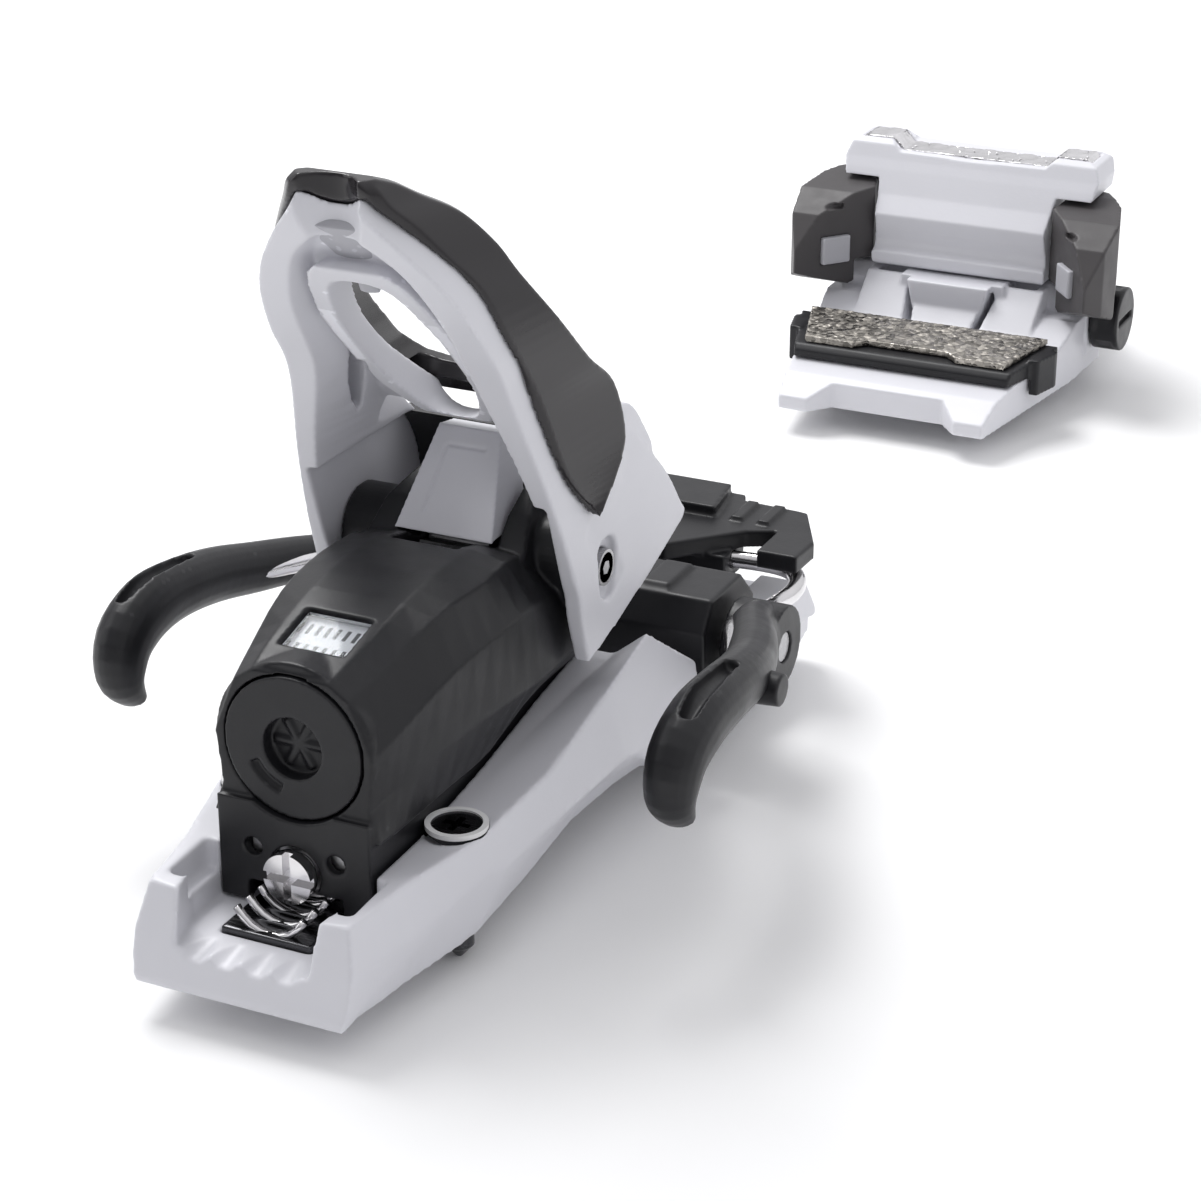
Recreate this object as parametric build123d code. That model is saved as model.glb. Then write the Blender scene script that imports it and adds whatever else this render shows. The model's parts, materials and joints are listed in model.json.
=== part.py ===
"""Step-in alpine ski binding: a toe piece and a heel piece with a ski brake, as they sit on one ski.

Frame: origin at the middle of the heel piece's four screws, at the ski's top surface (z = 0).
+Y points to the ski's tip, +X to the right and +Z up. All sizes are millimetres.
Heel parts are drawn with y = 0 at the back end of the heel track, and toe parts with y = 0 at the
back of the toe base's feet. Each is then moved to its place on the ski.
"""

from build123d import *

import os
from math import cos, radians, sin

# ---------------------------------------------------------------- driving dimensions
HEEL_BACK_Y = -86.7  # back end of the heel track
TOE_BACK_Y = HEEL_BACK_Y + 314.5  # back of the toe base's feet, set for a boot sole of about 265 mm
SCREW_SPACING_X = 42.0  # mounting screws, left to right, toe and heel
HEEL_SCREW_YS = (41.7, 131.7)
TOE_SCREW_YS = (26.0, 104.0)
SHANK_R = 2.75
SHANK_NECK_R = 2.6  # plain part of the shank, inside the base
SCREW_HEAD_R = 5.5
SHANK_DEPTH = 6.5  # screw below the ski's top surface, with its point
POINT_LENGTH = 2.5
FIT = 0.05  # radial gap of a running fit
GAP = 0.1  # gap between neighbours that slide or turn past each other

# heel piece
TRACK_FLOOR_Z = 7.6
CHANNEL_HALF = 15.6
SLIDE_HALF = CHANNEL_HALF - 0.3
HOUSING_BOTTOM_Z = 8.2
WORM_Z = 15.8
WORM_R = 6.9
THREAD_PITCH = 4.0
NECK_R = 3.0
YOKE_BACK_Y, YOKE_FRONT_Y = 22.8, 47.0
PUSH_SPRING_X = 11.8
PUSH_SPRING_WIRE_R = 0.7
PUSH_BAY_END_Y = 71.0
SPRING_Z = 39.5  # axis of the release spring
SPRING_BORE_R = 12.4
CAP_R = 13.6
PIVOT_Y, PIVOT_Z = 90.0, 52.0  # lever and heel cup
AXLE_R = 3.5
BUSH_R = 5.6
LEVER_OPEN_DEG = 38.0
ARM_INNER, ARM_OUTER = 24.4, 28.8
CAM_R = 10.5
CAM_LIFT = 2.63
CAM_GAP = 0.35
CAM_HUB_R = 6.2
LUG_INNER = 10.4
ROLLER_R = 4.0
BRAKE_Y, BRAKE_Z = 136.0, 20.0  # brake pivot
BRAKE_PIN_R = 3.0
WIRE_R = 1.9

# toe piece
WING_PIN_X, WING_PIN_Y, WING_PIN_R = 31.0, 71.0, 2.5
WING_TOP_Z = 46.2
TOE_SPRING_Y, TOE_SPRING_Z = 68.5, 14.0
TOE_BORE_R = 6.6
TOE_SCREW_R = 2.4
TUBE_END_X = 36.8
PIN_FOOT_Z = 20.8  # just above the toe spring's bore
TOE_CAP_R = 8.6


# ---------------------------------------------------------------- shape helpers
def side_prism(points, x0, x1, rounding=0.0):
    """A (y, z) outline run from x0 to x1."""
    outline = Plane.YZ.offset(x0) * Polygon(*points, align=None)
    if rounding:
        outline = fillet(outline.vertices(), rounding)
    return extrude(outline, amount=x1 - x0, dir=(1, 0, 0))


def plan_prism(points, z0, z1, rounding=0.0):
    """An (x, y) outline run from z0 to z1."""
    outline = Plane.XY.offset(z0) * Polygon(*points, align=None)
    if rounding:
        outline = fillet(outline.vertices(), rounding)
    return extrude(outline, amount=z1 - z0, dir=(0, 0, 1))


def rear_prism(points, y0, y1, rounding=0.0):
    """An (x, z) outline run from y0 to y1."""
    outline = Plane.XZ.offset(-y0) * Polygon(*points, align=None)
    if rounding:
        outline = fillet(outline.vertices(), rounding)
    return extrude(outline, amount=y1 - y0, dir=(0, 1, 0))


def box(x0, x1, y0, y1, z0, z1):
    middle = Pos((x0 + x1) / 2, (y0 + y1) / 2, (z0 + z1) / 2)
    return middle * Box(x1 - x0, y1 - y0, z1 - z0)


def rod_x(y, z, r, x0, x1):
    return extrude(Plane.YZ.offset(x0) * Pos(y, z) * Circle(r), amount=x1 - x0, dir=(1, 0, 0))


def rod_y(x, z, r, y0, y1):
    return extrude(Plane.XZ.offset(-y0) * Pos(x, z) * Circle(r), amount=y1 - y0, dir=(0, 1, 0))


def rod_z(x, y, r, z0, z1):
    return extrude(Plane.XY.offset(z0) * Pos(x, y) * Circle(r), amount=z1 - z0, dir=(0, 0, 1))


def mirrored(points):
    """A right-hand half outline, bottom to top, closed with its left-hand mirror image."""
    return list(points) + [(-x, z) for x, z in reversed(points) if abs(x) > 1e-6]


def left_of(shape):
    return mirror(shape, about=Plane.YZ)


def both(shape):
    """The right-hand shape and its left-hand mirror image, as separate solids."""
    return Compound(children=[*shape.solids(), *left_of(shape).solids()])


def ruled_body(stations):
    """A faceted body through mirrored (x, z) half outlines given at each y."""
    faces = []
    for y, half in stations:
        faces.append(Plane.XZ.offset(-y) * Polygon(*mirrored(half), align=None))
    return loft(faces, ruled=True)


def coil(radius, wire_r, turns, length):
    """A coil spring on the Z axis, from z = 0, with its wire's centre line on the radius."""
    helix = Helix(pitch=length / turns, height=length, radius=radius)
    start = Plane(origin=helix @ 0, z_dir=helix % 0)
    return sweep(start * Circle(wire_r), path=helix)


def cross_recess(r, depth):
    """A four-point driver recess that opens at z = 0 and runs down."""
    bar = Box(2 * r, r / 2, depth)
    return Pos(0, 0, -depth / 2) * (bar + Rot(0, 0, 90) * bar)


# ---------------------------------------------------------------- heel: fixed to the ski
def screw_spots(ys):
    return [(side * SCREW_SPACING_X / 2, y) for y in ys for side in (-1, 1)]


ON_ITS_BASE = (Align.CENTER, Align.CENTER, Align.MIN)


def mounting_screws(ys, seat_zs):
    """Ski screws: flat head on a countersink, with the shank and point that stand out below into the ski."""
    solids = []
    for (x, y), seat in zip(screw_spots(ys), [z for z in seat_zs for _ in (0, 1)]):
        thread = rod_z(x, y, SHANK_R, POINT_LENGTH - SHANK_DEPTH, 0)
        neck = rod_z(x, y, SHANK_NECK_R, 0, seat + 0.5)
        head = Pos(x, y, seat) * Cone(SHANK_R + 1.2, SCREW_HEAD_R, 1.6, align=ON_ITS_BASE)
        rim = rod_z(x, y, SCREW_HEAD_R, seat + 1.6, seat + 2.6)
        recess = Pos(x, y, seat + 2.6) * cross_recess(2.6, 2.2)
        tip = Pos(x, y, -SHANK_DEPTH) * Cone(0.6, SHANK_R, POINT_LENGTH, align=ON_ITS_BASE)
        solids.append((thread + neck + head + rim + tip - recess).solid())
    return Compound(children=solids)


def screw_holes(ys, seat_zs):
    holes = None
    for (x, y), seat in zip(screw_spots(ys), [z for z in seat_zs for _ in (0, 1)]):
        hole = rod_z(x, y, SHANK_R + 0.1, -5, seat + 1)
        hole += rod_z(x, y, SCREW_HEAD_R + 0.3, seat, seat + 40)
        holes = hole if holes is None else holes + hole
    return holes


HEEL_SEATS = (17.6, 5.0)
TOE_SEATS = (6.0, 9.0)


def heel_track():
    """White base of the heel piece: a channel between two rails that flare into wings at the front."""
    rails = ruled_body(
        [
            (-4, [(20.3, 0), (20.9, 4), (20.6, 9), (18.6, 17.4), (11, 17.0)]),
            (20, [(23.4, 0), (24.2, 5), (24.6, 10), (21.8, 18.8), (14, 17.8)]),
            (40, [(25.6, 0), (27.4, 5), (28.6, 11), (27.0, 19.8), (17, 18.6)]),
            (62, [(24.4, 0), (26.5, 6), (31.4, 14), (29.2, 22.6), (18, 21.4)]),
            (85, [(22.4, 0), (25.0, 6), (34.0, 16), (30.0, 29.0), (21, 25.5)]),
            (103, [(23.4, 0), (27.0, 5), (34.4, 12), (30.2, 34.0), (23, 28)]),
            (120, [(26.0, 0), (30.0, 5), (34.0, 14), (33.4, 21.0), (23, 25)]),
        ]
    )
    front = plan_prism(
        [(-28, 112), (28, 112), (33.8, 150), (33.8, 168), (31, 187), (-31, 187), (-33.8, 168),
         (-33.8, 150)], 0, 9.5
    )
    toe_block = side_prism([(163, 9), (166, 14), (181, 14), (187, 6), (187, 4)], 22, 32.7)
    body = rails + front + toe_block + left_of(toe_block)
    channel = plan_prism(
        [(-11.3, -6), (11.3, -6), (13.5, 4), (CHANNEL_HALF, 12), (CHANNEL_HALF, 123), (-CHANNEL_HALF, 123),
         (-CHANNEL_HALF, 12), (-13.5, 4)],
        TRACK_FLOOR_Z,
        60,
    )
    open_front = box(-22.8, 22.8, 104, 123, 9.5, 60)
    rear_slope = side_prism([(-6, -1), (0, -1), (0, 1.5), (2.2, 9), (5.5, 19), (-6, 19)], -30, 30)
    rack_slot = box(-9.2, 9.2, 10, 101, 2.5, 12)
    body = body - channel - open_front - rear_slope - rack_slot
    return body - screw_holes(HEEL_SCREW_YS, HEEL_SEATS)


def heel_rack():
    """Steel half nut set in the channel floor; its curved teeth hold the length screw."""
    rack = box(-9, 9, 10.2, 100.8, 2.6, 10.4) - rod_y(0, WORM_Z, WORM_R + GAP, 9, 102)
    tooth_width = 1.7
    for i in range(int(90 / THREAD_PITCH)):
        y = 11.0 + i * THREAD_PITCH + tooth_width
        rack -= rod_y(0, WORM_Z, WORM_R + 1.8, y, y + THREAD_PITCH - tooth_width)
    return rack


def brake_base():
    """Black block in front of the heel that carries the brake's pivot pins and the boot's heel."""
    block = side_prism([(124, 9.7), (124, 25), (128, 31), (143, 31), (150, 24), (150, 9.7)], -33, 33)
    hollow = box(-24, 24, 126.5, 147.5, 0, 22)
    bores = rod_x(BRAKE_Y, BRAKE_Z, BRAKE_PIN_R, -40, 40)
    ribs = None
    for x in (-20, -10, 0, 10, 20):
        rib = side_prism([(128, 30.5), (130, 32.2), (141, 32.2), (143, 30.5)], x - 3, x + 3)
        ribs = rib if ribs is None else ribs + rib
    return block + ribs - hollow - bores


def brake_pivot_pins():
    return both(rod_x(BRAKE_Y, BRAKE_Z, BRAKE_PIN_R, 24.5, 45.2))


# ---------------------------------------------------------------- heel: length adjustment
def adjuster_bracket():
    """Steel yoke with two cheeks on the length screw; the front cheek's ears carry the push springs."""
    yoke = box(-9.5, 9.5, YOKE_BACK_Y, YOKE_FRONT_Y, 22.9, 24.6)
    back = box(-9.5, 9.5, YOKE_BACK_Y, YOKE_BACK_Y + 1.4, 12.6, 23)
    front = box(-9.5, 9.5, YOKE_FRONT_Y - 1.4, YOKE_FRONT_Y, 12.6, 23)
    ears = box(-14.2, 14.2, YOKE_FRONT_Y - 1.4, YOKE_FRONT_Y, WORM_Z - 2.2, WORM_Z + 2.2)
    screw_bore = rod_y(0, WORM_Z, NECK_R + GAP, 20, 50)
    return yoke + back + front + ears - screw_bore


def forward_pressure_springs():
    start = YOKE_FRONT_Y + PUSH_SPRING_WIRE_R
    length = PUSH_BAY_END_Y - PUSH_SPRING_WIRE_R - start
    spring = Pos(PUSH_SPRING_X, start, WORM_Z) * Rot(-90, 0, 0) * coil(1.7, PUSH_SPRING_WIRE_R, 7, length)
    return both(spring)


def length_adjust_screw():
    """Cross-slotted head, smooth neck and worm whose rings sit over the rack's teeth."""
    head = rod_y(0, WORM_Z, 4.8, 18.0, 20.4)
    shaft = rod_y(0, WORM_Z, NECK_R, 20.0, 48.0)
    worm = rod_y(0, WORM_Z, 5.4, 24.6, 45.2)
    body = head + shaft + worm
    for i in range(5):
        y = 25.2 + i * THREAD_PITCH
        body += rod_y(0, WORM_Z, WORM_R, y, y + 2.0)
    slot = box(-6, 6, 17.9, 19.2, WORM_Z - 0.8, WORM_Z + 0.8)
    slot += box(-0.8, 0.8, 17.9, 19.2, WORM_Z - 6, WORM_Z + 6)
    return body - slot


# ---------------------------------------------------------------- heel: housing
def heel_housing():
    """Black housing: slide foot in the channel, spring barrel, rear plate and the lever's bearing lugs."""
    shell = ruled_body(
        [
            (22.0, [(16.6, 24), (14.6, 30), (15.6, 40), (11.4, 50.5), (7.5, 53.2)]),
            (36.0, [(17.0, 24), (17.6, 34), (17.8, 46), (14.0, 55), (9.0, 57)]),
            (60.0, [(17.0, 24), (21.6, 36), (20.4, 50), (17.0, 58), (9.0, 60)]),
            (77.0, [(17.0, 28), (23.6, 36), (21.6, 50), (15.5, 57), (9.0, 58)]),
            (101.0, [(17.0, 28), (21.0, 36), (19.4, 44), (14.5, 46), (9.0, 46)]),
        ]
    )
    foot = box(-SLIDE_HALF, SLIDE_HALF, 20.6, 101, HOUSING_BOTTOM_Z, 28.2)
    barrel = rod_y(0, SPRING_Z, 16.0, 22.6, 34)
    lug = rod_x(PIVOT_Y, PIVOT_Z, 12.0, LUG_INNER, ARM_INNER - 0.3)
    body = shell + foot + barrel + lug + left_of(lug)
    bore = rod_y(0, SPRING_Z, SPRING_BORE_R, 20, 77)
    cap_seat = rod_y(0, SPRING_Z, CAP_R + GAP, 20, 29)
    cam_well = box(-7, 7, 70, 104, 34, 56.8) + rod_x(PIVOT_Y, PIVOT_Z, CAM_HUB_R + 0.4, -7, 7)
    axle_bore = rod_x(PIVOT_Y, PIVOT_Z, BUSH_R, -40, 40)
    worm_bay = box(-9.8, 9.8, YOKE_BACK_Y - 0.2, 54, 0, 24.9)
    ear_bay = box(-14.5, 14.5, YOKE_FRONT_Y - 1.8, 54, WORM_Z - 2.5, WORM_Z + 2.5)
    screw_door = rod_y(0, WORM_Z, 5.0, 15, 24)
    rack_bay = box(-9.4, 9.4, 15, 110, 0, 12.4)
    spring_bay = rod_y(PUSH_SPRING_X, WORM_Z, 2.5, 48.8, PUSH_BAY_END_Y)
    spring_bay += rod_y(-PUSH_SPRING_X, WORM_Z, 2.5, 48.8, PUSH_BAY_END_Y)
    blind_holes = rod_y(8.3, 19.2, 1.7, 15, 22.4) + rod_y(-8.3, 19.2, 1.7, 15, 22.4)
    window_seat = window_block(13.0, 10.6, -2.0, 2.0)
    body = body - bore - cap_seat - cam_well - axle_bore - worm_bay - ear_bay - screw_door
    return body - rack_bay - spring_bay - blind_holes - window_seat


def window_block(width, length, low, high):
    """A block across the sloping back of the housing, between two heights above the window's line."""
    middle = Pos(0, 34.9, 55.4) * Rot(14, 0, 0)
    return middle * Pos(0, 0, (low + high) / 2) * Box(width, length, high - low)


def indicator_scale():
    """Plain printed plate under the window."""
    return window_block(12.8, 10.4, -1.95, -1.2)


def indicator_window():
    return window_block(12.8, 10.4, -1.15, 0.1)


def heel_release_spring():
    return Pos(0, 37.5, SPRING_Z) * Rot(-90, 0, 0) * coil(9.2, 1.7, 4, 21.0)


def heel_spine():
    """White block that stands on the housing between the lever's arms and leans forward."""
    profile = side_prism([(77.6, 58.2), (89.4, 75.4), (95.4, 74.2), (94.0, 66.0), (92.0, 58.8)], -11, 11)
    front_view = rear_prism([(-10.2, 58), (10.2, 58), (6.4, 76), (-6.4, 76)], 70, 100)
    return profile & front_view


def pivot_bushings():
    bush = rod_x(PIVOT_Y, PIVOT_Z, BUSH_R, LUG_INNER, ARM_INNER - 0.2)
    bush -= rod_x(PIVOT_Y, PIVOT_Z, AXLE_R + FIT, 8, 26)
    return both(bush)


def heel_din_cap():
    """Round cap that turns the spring's tension screw, with a star recess and its threaded stem."""
    cap = rod_y(0, SPRING_Z, CAP_R, 21.6, 28.4)
    cap -= rod_y(0, SPRING_Z, 11.2, 21.0, 22.4) - rod_y(0, SPRING_Z, 8.4, 21.0, 22.4)
    recess = rod_y(0, SPRING_Z, 5.0, 21.0, 25.4)
    star = None
    for i in range(3):
        bar = Pos(0, 24.4, SPRING_Z) * Rot(0, 60 * i, 0) * Box(1.5, 2, 10)
        star = bar if star is None else star + bar
    stem = rod_y(0, SPRING_Z, 3.2, 28, 58)
    return cap - recess + star + stem


def heel_spring_nut():
    """Nut that the stem draws along the bore to load the spring."""
    nut = rod_y(0, SPRING_Z, 11.6, 30.6, 35.6) - rod_y(0, SPRING_Z, 3.2 + FIT, 30, 37)
    return nut


def heel_piston():
    """Cup that carries the cam roller and pushes on the lever's cam."""
    cup = rod_y(0, SPRING_Z, SPRING_BORE_R - FIT, 60.4, 71.5)
    cup -= rod_y(0, SPRING_Z, 3.6, 60, 66.5)
    roller_y, roller_z = roller_centre()
    cheek = side_prism([(71, 36), (71, 50), (roller_y + 2.2, roller_z + 2.6),
        (roller_y + 2.2, roller_z - 2.6)], 3.2, 5.6)
    cheeks = cheek + left_of(cheek)
    return cup + cheeks - rod_x(roller_y, roller_z, 1.5, -8, 8)


def roller_centre():
    reach = CAM_R + ROLLER_R
    return PIVOT_Y - reach * cos(radians(28.9)), PIVOT_Z - reach * sin(radians(28.9))


def piston_roller():
    y, z = roller_centre()
    return rod_x(y, z, ROLLER_R - FIT, -3.0, 3.0) - rod_x(y, z, 1.5, -5, 5)


def piston_roller_pin():
    y, z = roller_centre()
    return rod_x(y, z, 1.5, -5.6, 5.6)


# ---------------------------------------------------------------- heel: lever and heel cup
# Horizontal sections of the lever: height, then y and half width at its back and at its front
LEVER_SECTIONS = [
    (34.0, 83.4, 27.4, 84.6, 27.8),
    (44.0, 79.6, 27.9, 107.2, 28.8),
    (50.0, 78.2, 28.0, 123.4, 28.8),
    (54.5, 76.4, 27.7, 121.5, 28.8),
    (64.0, 73.0, 27.0, 113.6, 28.8),
    (75.0, 69.0, 25.6, 101.0, 28.2),
    (88.0, 64.2, 23.2, 85.0, 26.4),
    (95.0, 61.0, 22.4, 76.0, 25.4),
    (101.5, 56.6, 22.3, 69.0, 24.2),
    (110.0, 51.0, 20.6, 61.5, 21.8),
    (117.0, 46.8, 17.6, 56.0, 19.0),
    (124.0, 42.4, 12.4, 50.6, 14.2),
    (129.0, 40.0, 8.0, 46.0, 9.6),
    (132.4, 38.8, 5.4, 42.0, 6.6),
]
COVER_SECTIONS = [
    (65.0, 82.5, 28.6, 84.0, 30.0),
    (71.0, 76.5, 28.0, 90.0, 30.4),
    (77.5, 72.2, 27.0, 95.0, 30.0),
    (88.0, 68.2, 25.6, 91.0, 28.6),
    (95.0, 64.8, 24.8, 83.0, 27.6),
    (105.0, 58.4, 23.4, 75.5, 25.8),
    (115.0, 53.6, 20.6, 68.0, 22.4),
    (121.0, 49.4, 17.2, 64.5, 19.8),
    (127.0, 45.4, 13.4, 60.0, 15.6),
    (131.0, 42.0, 10.4, 54.0, 11.4),
    (134.0, 40.6, 8.8, 49.0, 9.4),
    (135.6, 40.8, 7.2, 45.0, 7.8),
]
ARM_INNER_LINE = [
    (ARM_INNER, 30), (ARM_INNER, 52), (23.4, 63), (21.0, 78), (18.8, 88), (17.4, 96), (17.4, 106),
    (15.0, 114), (11.5, 120), (5.0, 123.5),
]
UPPER_OPENING = [(4.0, 80.0), (8.4, 88), (9.5, 98), (8.6, 107), (4.8, 114.5)]
LEAF_SLOT = [(17.3, 73.5), (19.6, 75.5), (19.6, 90), (18.8, 97.4), (17.0, 92), (16.9, 82)]


def stacked_body(sections, grow=0.0):
    """A body through horizontal sections that are wider at the front than at the back."""
    faces = []
    for z, back_y, back_half, front_y, front_half in sections:
        back_half, back_y = back_half + grow, back_y - grow
        front_half, front_y = front_half + 2 * grow, front_y + grow
        corners = [(back_half, back_y), (front_half, front_y), (-front_half, front_y), (-back_half, back_y)]
        faces.append(Plane.XY.offset(z) * Polygon(*corners, align=None))
    return loft(faces, ruled=True)


def lever_frame():
    """White lever: two arms that carry the heel cup, joined by a hollow arch and a cross web."""
    underside = side_prism([(60, 30), (84.6, 36), (123.4, 50), (130, 52), (130, 20), (60, 20)], -30, 30)
    behind_web = [
        (70, 30), (126, 30), (126, 60), (112, 67), (101.0, 71.5), (84.0, 83.0), (73.0, 94.0), (60.0, 107.0),
        (50.0, 118.5), (44.0, 124.0), (30, 124), (30, 60),
    ]
    web_front = side_prism([(89.2, 91), (91.6, 73), (130, 60), (130, 91)], -21, 21)
    notch = rod_z(0, 37.6, 6.6, 121, 150)
    cavity = side_prism(behind_web, -30, 30) & rear_prism(mirrored(ARM_INNER_LINE), 20, 130)
    window = rear_prism(mirrored(UPPER_OPENING), 20, 130)
    gateway = rear_prism([(-23.0, 20), (23.0, 20), (19.6, 74), (-19.6, 74)], 20, 130)
    throat = box(-ARM_INNER, ARM_INNER, 60, 130, 20, 70)
    leaf = rear_prism(LEAF_SLOT, 60, 94)
    body = stacked_body(LEVER_SECTIONS) - underside - cavity - window - gateway - throat - web_front - notch
    body -= leaf + left_of(leaf) + rod_x(PIVOT_Y, PIVOT_Z, AXLE_R, -40, 40)
    recess = rod_x(PIVOT_Y, PIVOT_Z, 5.4, 27.7, 30)
    return body - recess - left_of(recess)


def lever_cover():
    """Grey glossy hoop that wraps the front and the sides of the arch."""
    inside = stacked_body(LEVER_SECTIONS, grow=2 * GAP)
    window = rear_prism(mirrored([(10.4, 88.5), (13.0, 97), (13.6, 105), (12.0, 111), (8.4, 116.0),
        (3.0, 118.5)]), 40, 130)
    between_arms = box(-26, 26, 60, 130, 60, 79.0) + box(-21, 21, 60, 91.8, 60, 88.4)
    behind = side_prism([(20, 60), (20, 133.2), (40.6, 132.4), (52, 116), (66, 98), (78, 84),
        (78, 60)], -17, 17)
    notch = rod_z(0, 37.6, 6.4, 120, 150)
    return stacked_body(COVER_SECTIONS) - inside - window - between_arms - behind - notch


def heel_cup():
    """Crosspiece between the arms' front ends that presses on the boot's heel ledge."""
    outline = [(108, 52), (117, 51.5), (122, 52.4), (120, 58), (114, 66), (110.4, 69.8), (104, 69.8),
        (104, 58)]
    swing = rod_x(PIVOT_Y, PIVOT_Z, 24.0, -ARM_INNER, ARM_INNER)
    boot_heel = rod_z(0, 143, 28.0, 40, 80)
    return side_prism(outline, -ARM_INNER, ARM_INNER) - swing - boot_heel


def treadle():
    """Step-in tread under the cup that the boot's heel pushes down."""
    plate = side_prism([(104.5, 44.6), (117, 49.0), (116, 51.4), (104.5, 47.4)], -ARM_INNER, ARM_INNER)
    return plate - box(-6, 6, 100, 108, 40, 52)


def lever_cam():
    """Spiral cam on the axle: its radius grows as the lever opens, which drives the piston back."""
    points = []
    start, stop, step = 160, 232, 4
    for angle in range(start, stop + 1, step):
        turned = min(max(208.9 - angle, 0), LEVER_OPEN_DEG)
        r = CAM_R - CAM_GAP + CAM_LIFT * turned / LEVER_OPEN_DEG
        points.append((PIVOT_Y + r * cos(radians(angle)), PIVOT_Z + r * sin(radians(angle))))
    lobe = side_prism(points + [(PIVOT_Y, PIVOT_Z - 3), (PIVOT_Y + 2, PIVOT_Z)], -5, 5)
    hub = rod_x(PIVOT_Y, PIVOT_Z, CAM_HUB_R, -6.5, 6.5)
    return lobe + hub - rod_x(PIVOT_Y, PIVOT_Z, AXLE_R, -8, 8)


def pivot_axle():
    return rod_x(PIVOT_Y, PIVOT_Z, AXLE_R, -27.6, 27.6)


def pivot_screws():
    """Star-slotted screws that close the two ends of the axle."""
    head = rod_x(PIVOT_Y, PIVOT_Z, 4.6, 27.7, 29.3)
    star = None
    for i in range(3):
        bar = Pos(29.0, PIVOT_Y, PIVOT_Z) * Rot(60 * i, 0, 0) * Box(1.6, 1.2, 5.2)
        star = bar if star is None else star + bar
    return both(head - star)


def lever_bridge():
    """Folded bracket under the top of the arch, at the pole-tip notch."""
    profile = side_prism([(43.2, 123.5), (49.4, 118.0), (54.2, 112.6), (52.2, 110.7), (46.3, 116.8),
        (42.4, 120.2)], -6, 6)
    return profile & rear_prism(mirrored([(6, 110), (6, 117), (4.6, 124)]), 20, 80)


# ---------------------------------------------------------------- heel: brake
def brake_pad():
    """Right-hand plastic sleeve of a brake arm, hooked at its tip, with the hub on the pivot pin."""
    side = [
        (51.5, 21), (47.5, 30), (48.5, 38), (54, 43.5), (69, 44.5), (90, 41.0), (110, 37.5),
        (124, 35), (132, 31.5), (144, 26),
        (144, 15), (136, 11), (128, 14), (120, 25), (108, 29), (92, 30.5), (76, 33.8), (67.5, 32),
        (61.5, 27), (58, 21),
    ]
    plan = [
        (52.5, 47), (61.5, 47), (62.5, 68), (60.5, 84), (56.5, 101), (50.0, 117), (46.0, 126),
        (45.6, 146), (34.6, 146),
        (34.6, 128), (40.0, 118), (46.0, 104), (50.5, 88), (52.5, 70),
    ]
    arm = side_prism(side, 30, 65) & plan_prism(plan, 5, 50)
    arm -= rod_x(BRAKE_Y, BRAKE_Z, BRAKE_PIN_R + FIT, 30, 60)
    window = side_prism([(57, 34), (58, 40.5), (84, 38.5), (84, 36), (70, 34.5)], 58, 66)
    return arm - window - brake_wire() - brake_knob()


BRAKE_WIRE = [(58.2, 58, 37.4), (56.6, 76, 37.6), (52.2, 92, 34.8), (46.0, 108, 33.0),
    (40.4, 122, 29.6), (39.6, 136, 26.0),
              (38.2, 150, 22.6), (37.4, 163, 21.6), (33.0, 169.4, 21.4), (24.0, 170.6, 21.4),
              (8.0, 170.6, 21.4)]


def brake_wire():
    """Right-hand steel wire: from the pad's window through the hub, then forward and in under the pedal."""
    path = Spline(*[Vector(*p) for p in BRAKE_WIRE])
    start = Plane(origin=path @ 0, z_dir=path % 0)
    return sweep(start * Circle(WIRE_R), path=path)


def brake_pedal():
    """Ridged black plate that the boot's heel presses down; it lifts when the brake drops."""
    plate = plan_prism(
        [(0, 157), (9, 158), (22, 172), (28, 175), (28, 163), (37, 163), (37.4, 172), (30, 187),
         (15, 188), (14, 191),
         (-14, 191), (-15, 188), (-30, 187), (-37.4, 172), (-37, 163), (-28, 163), (-28, 175),
         (-22, 172), (-9, 158)],
        23.6, 27.6,
    )
    step = plan_prism([(-13, 176), (13, 176), (11, 190), (-11, 190)], 27.4, 30)
    ribs = None
    for x in (-24, -18, 18, 24):
        rib = box(x - 1.3, x + 1.3, 176, 186, 27.4, 28.6)
        ribs = rib if ribs is None else ribs + rib
    skirt = box(-20, 20, 165, 176, 17.5, 23.8)
    wire = brake_wire()
    return plate + step + ribs + skirt - wire - left_of(wire)


def brake_knob():
    """Small stop on the outer side of the right-hand pad."""
    return rod_x(91, 33.5, 2.6, 57.5, 63.0)


def brake_spring():
    return Pos(0, BRAKE_Y, BRAKE_Z) * Pos(-9, 0, -4) * Rot(0, 90, 0) * coil(4.4, 0.8, 7, 18)


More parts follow.
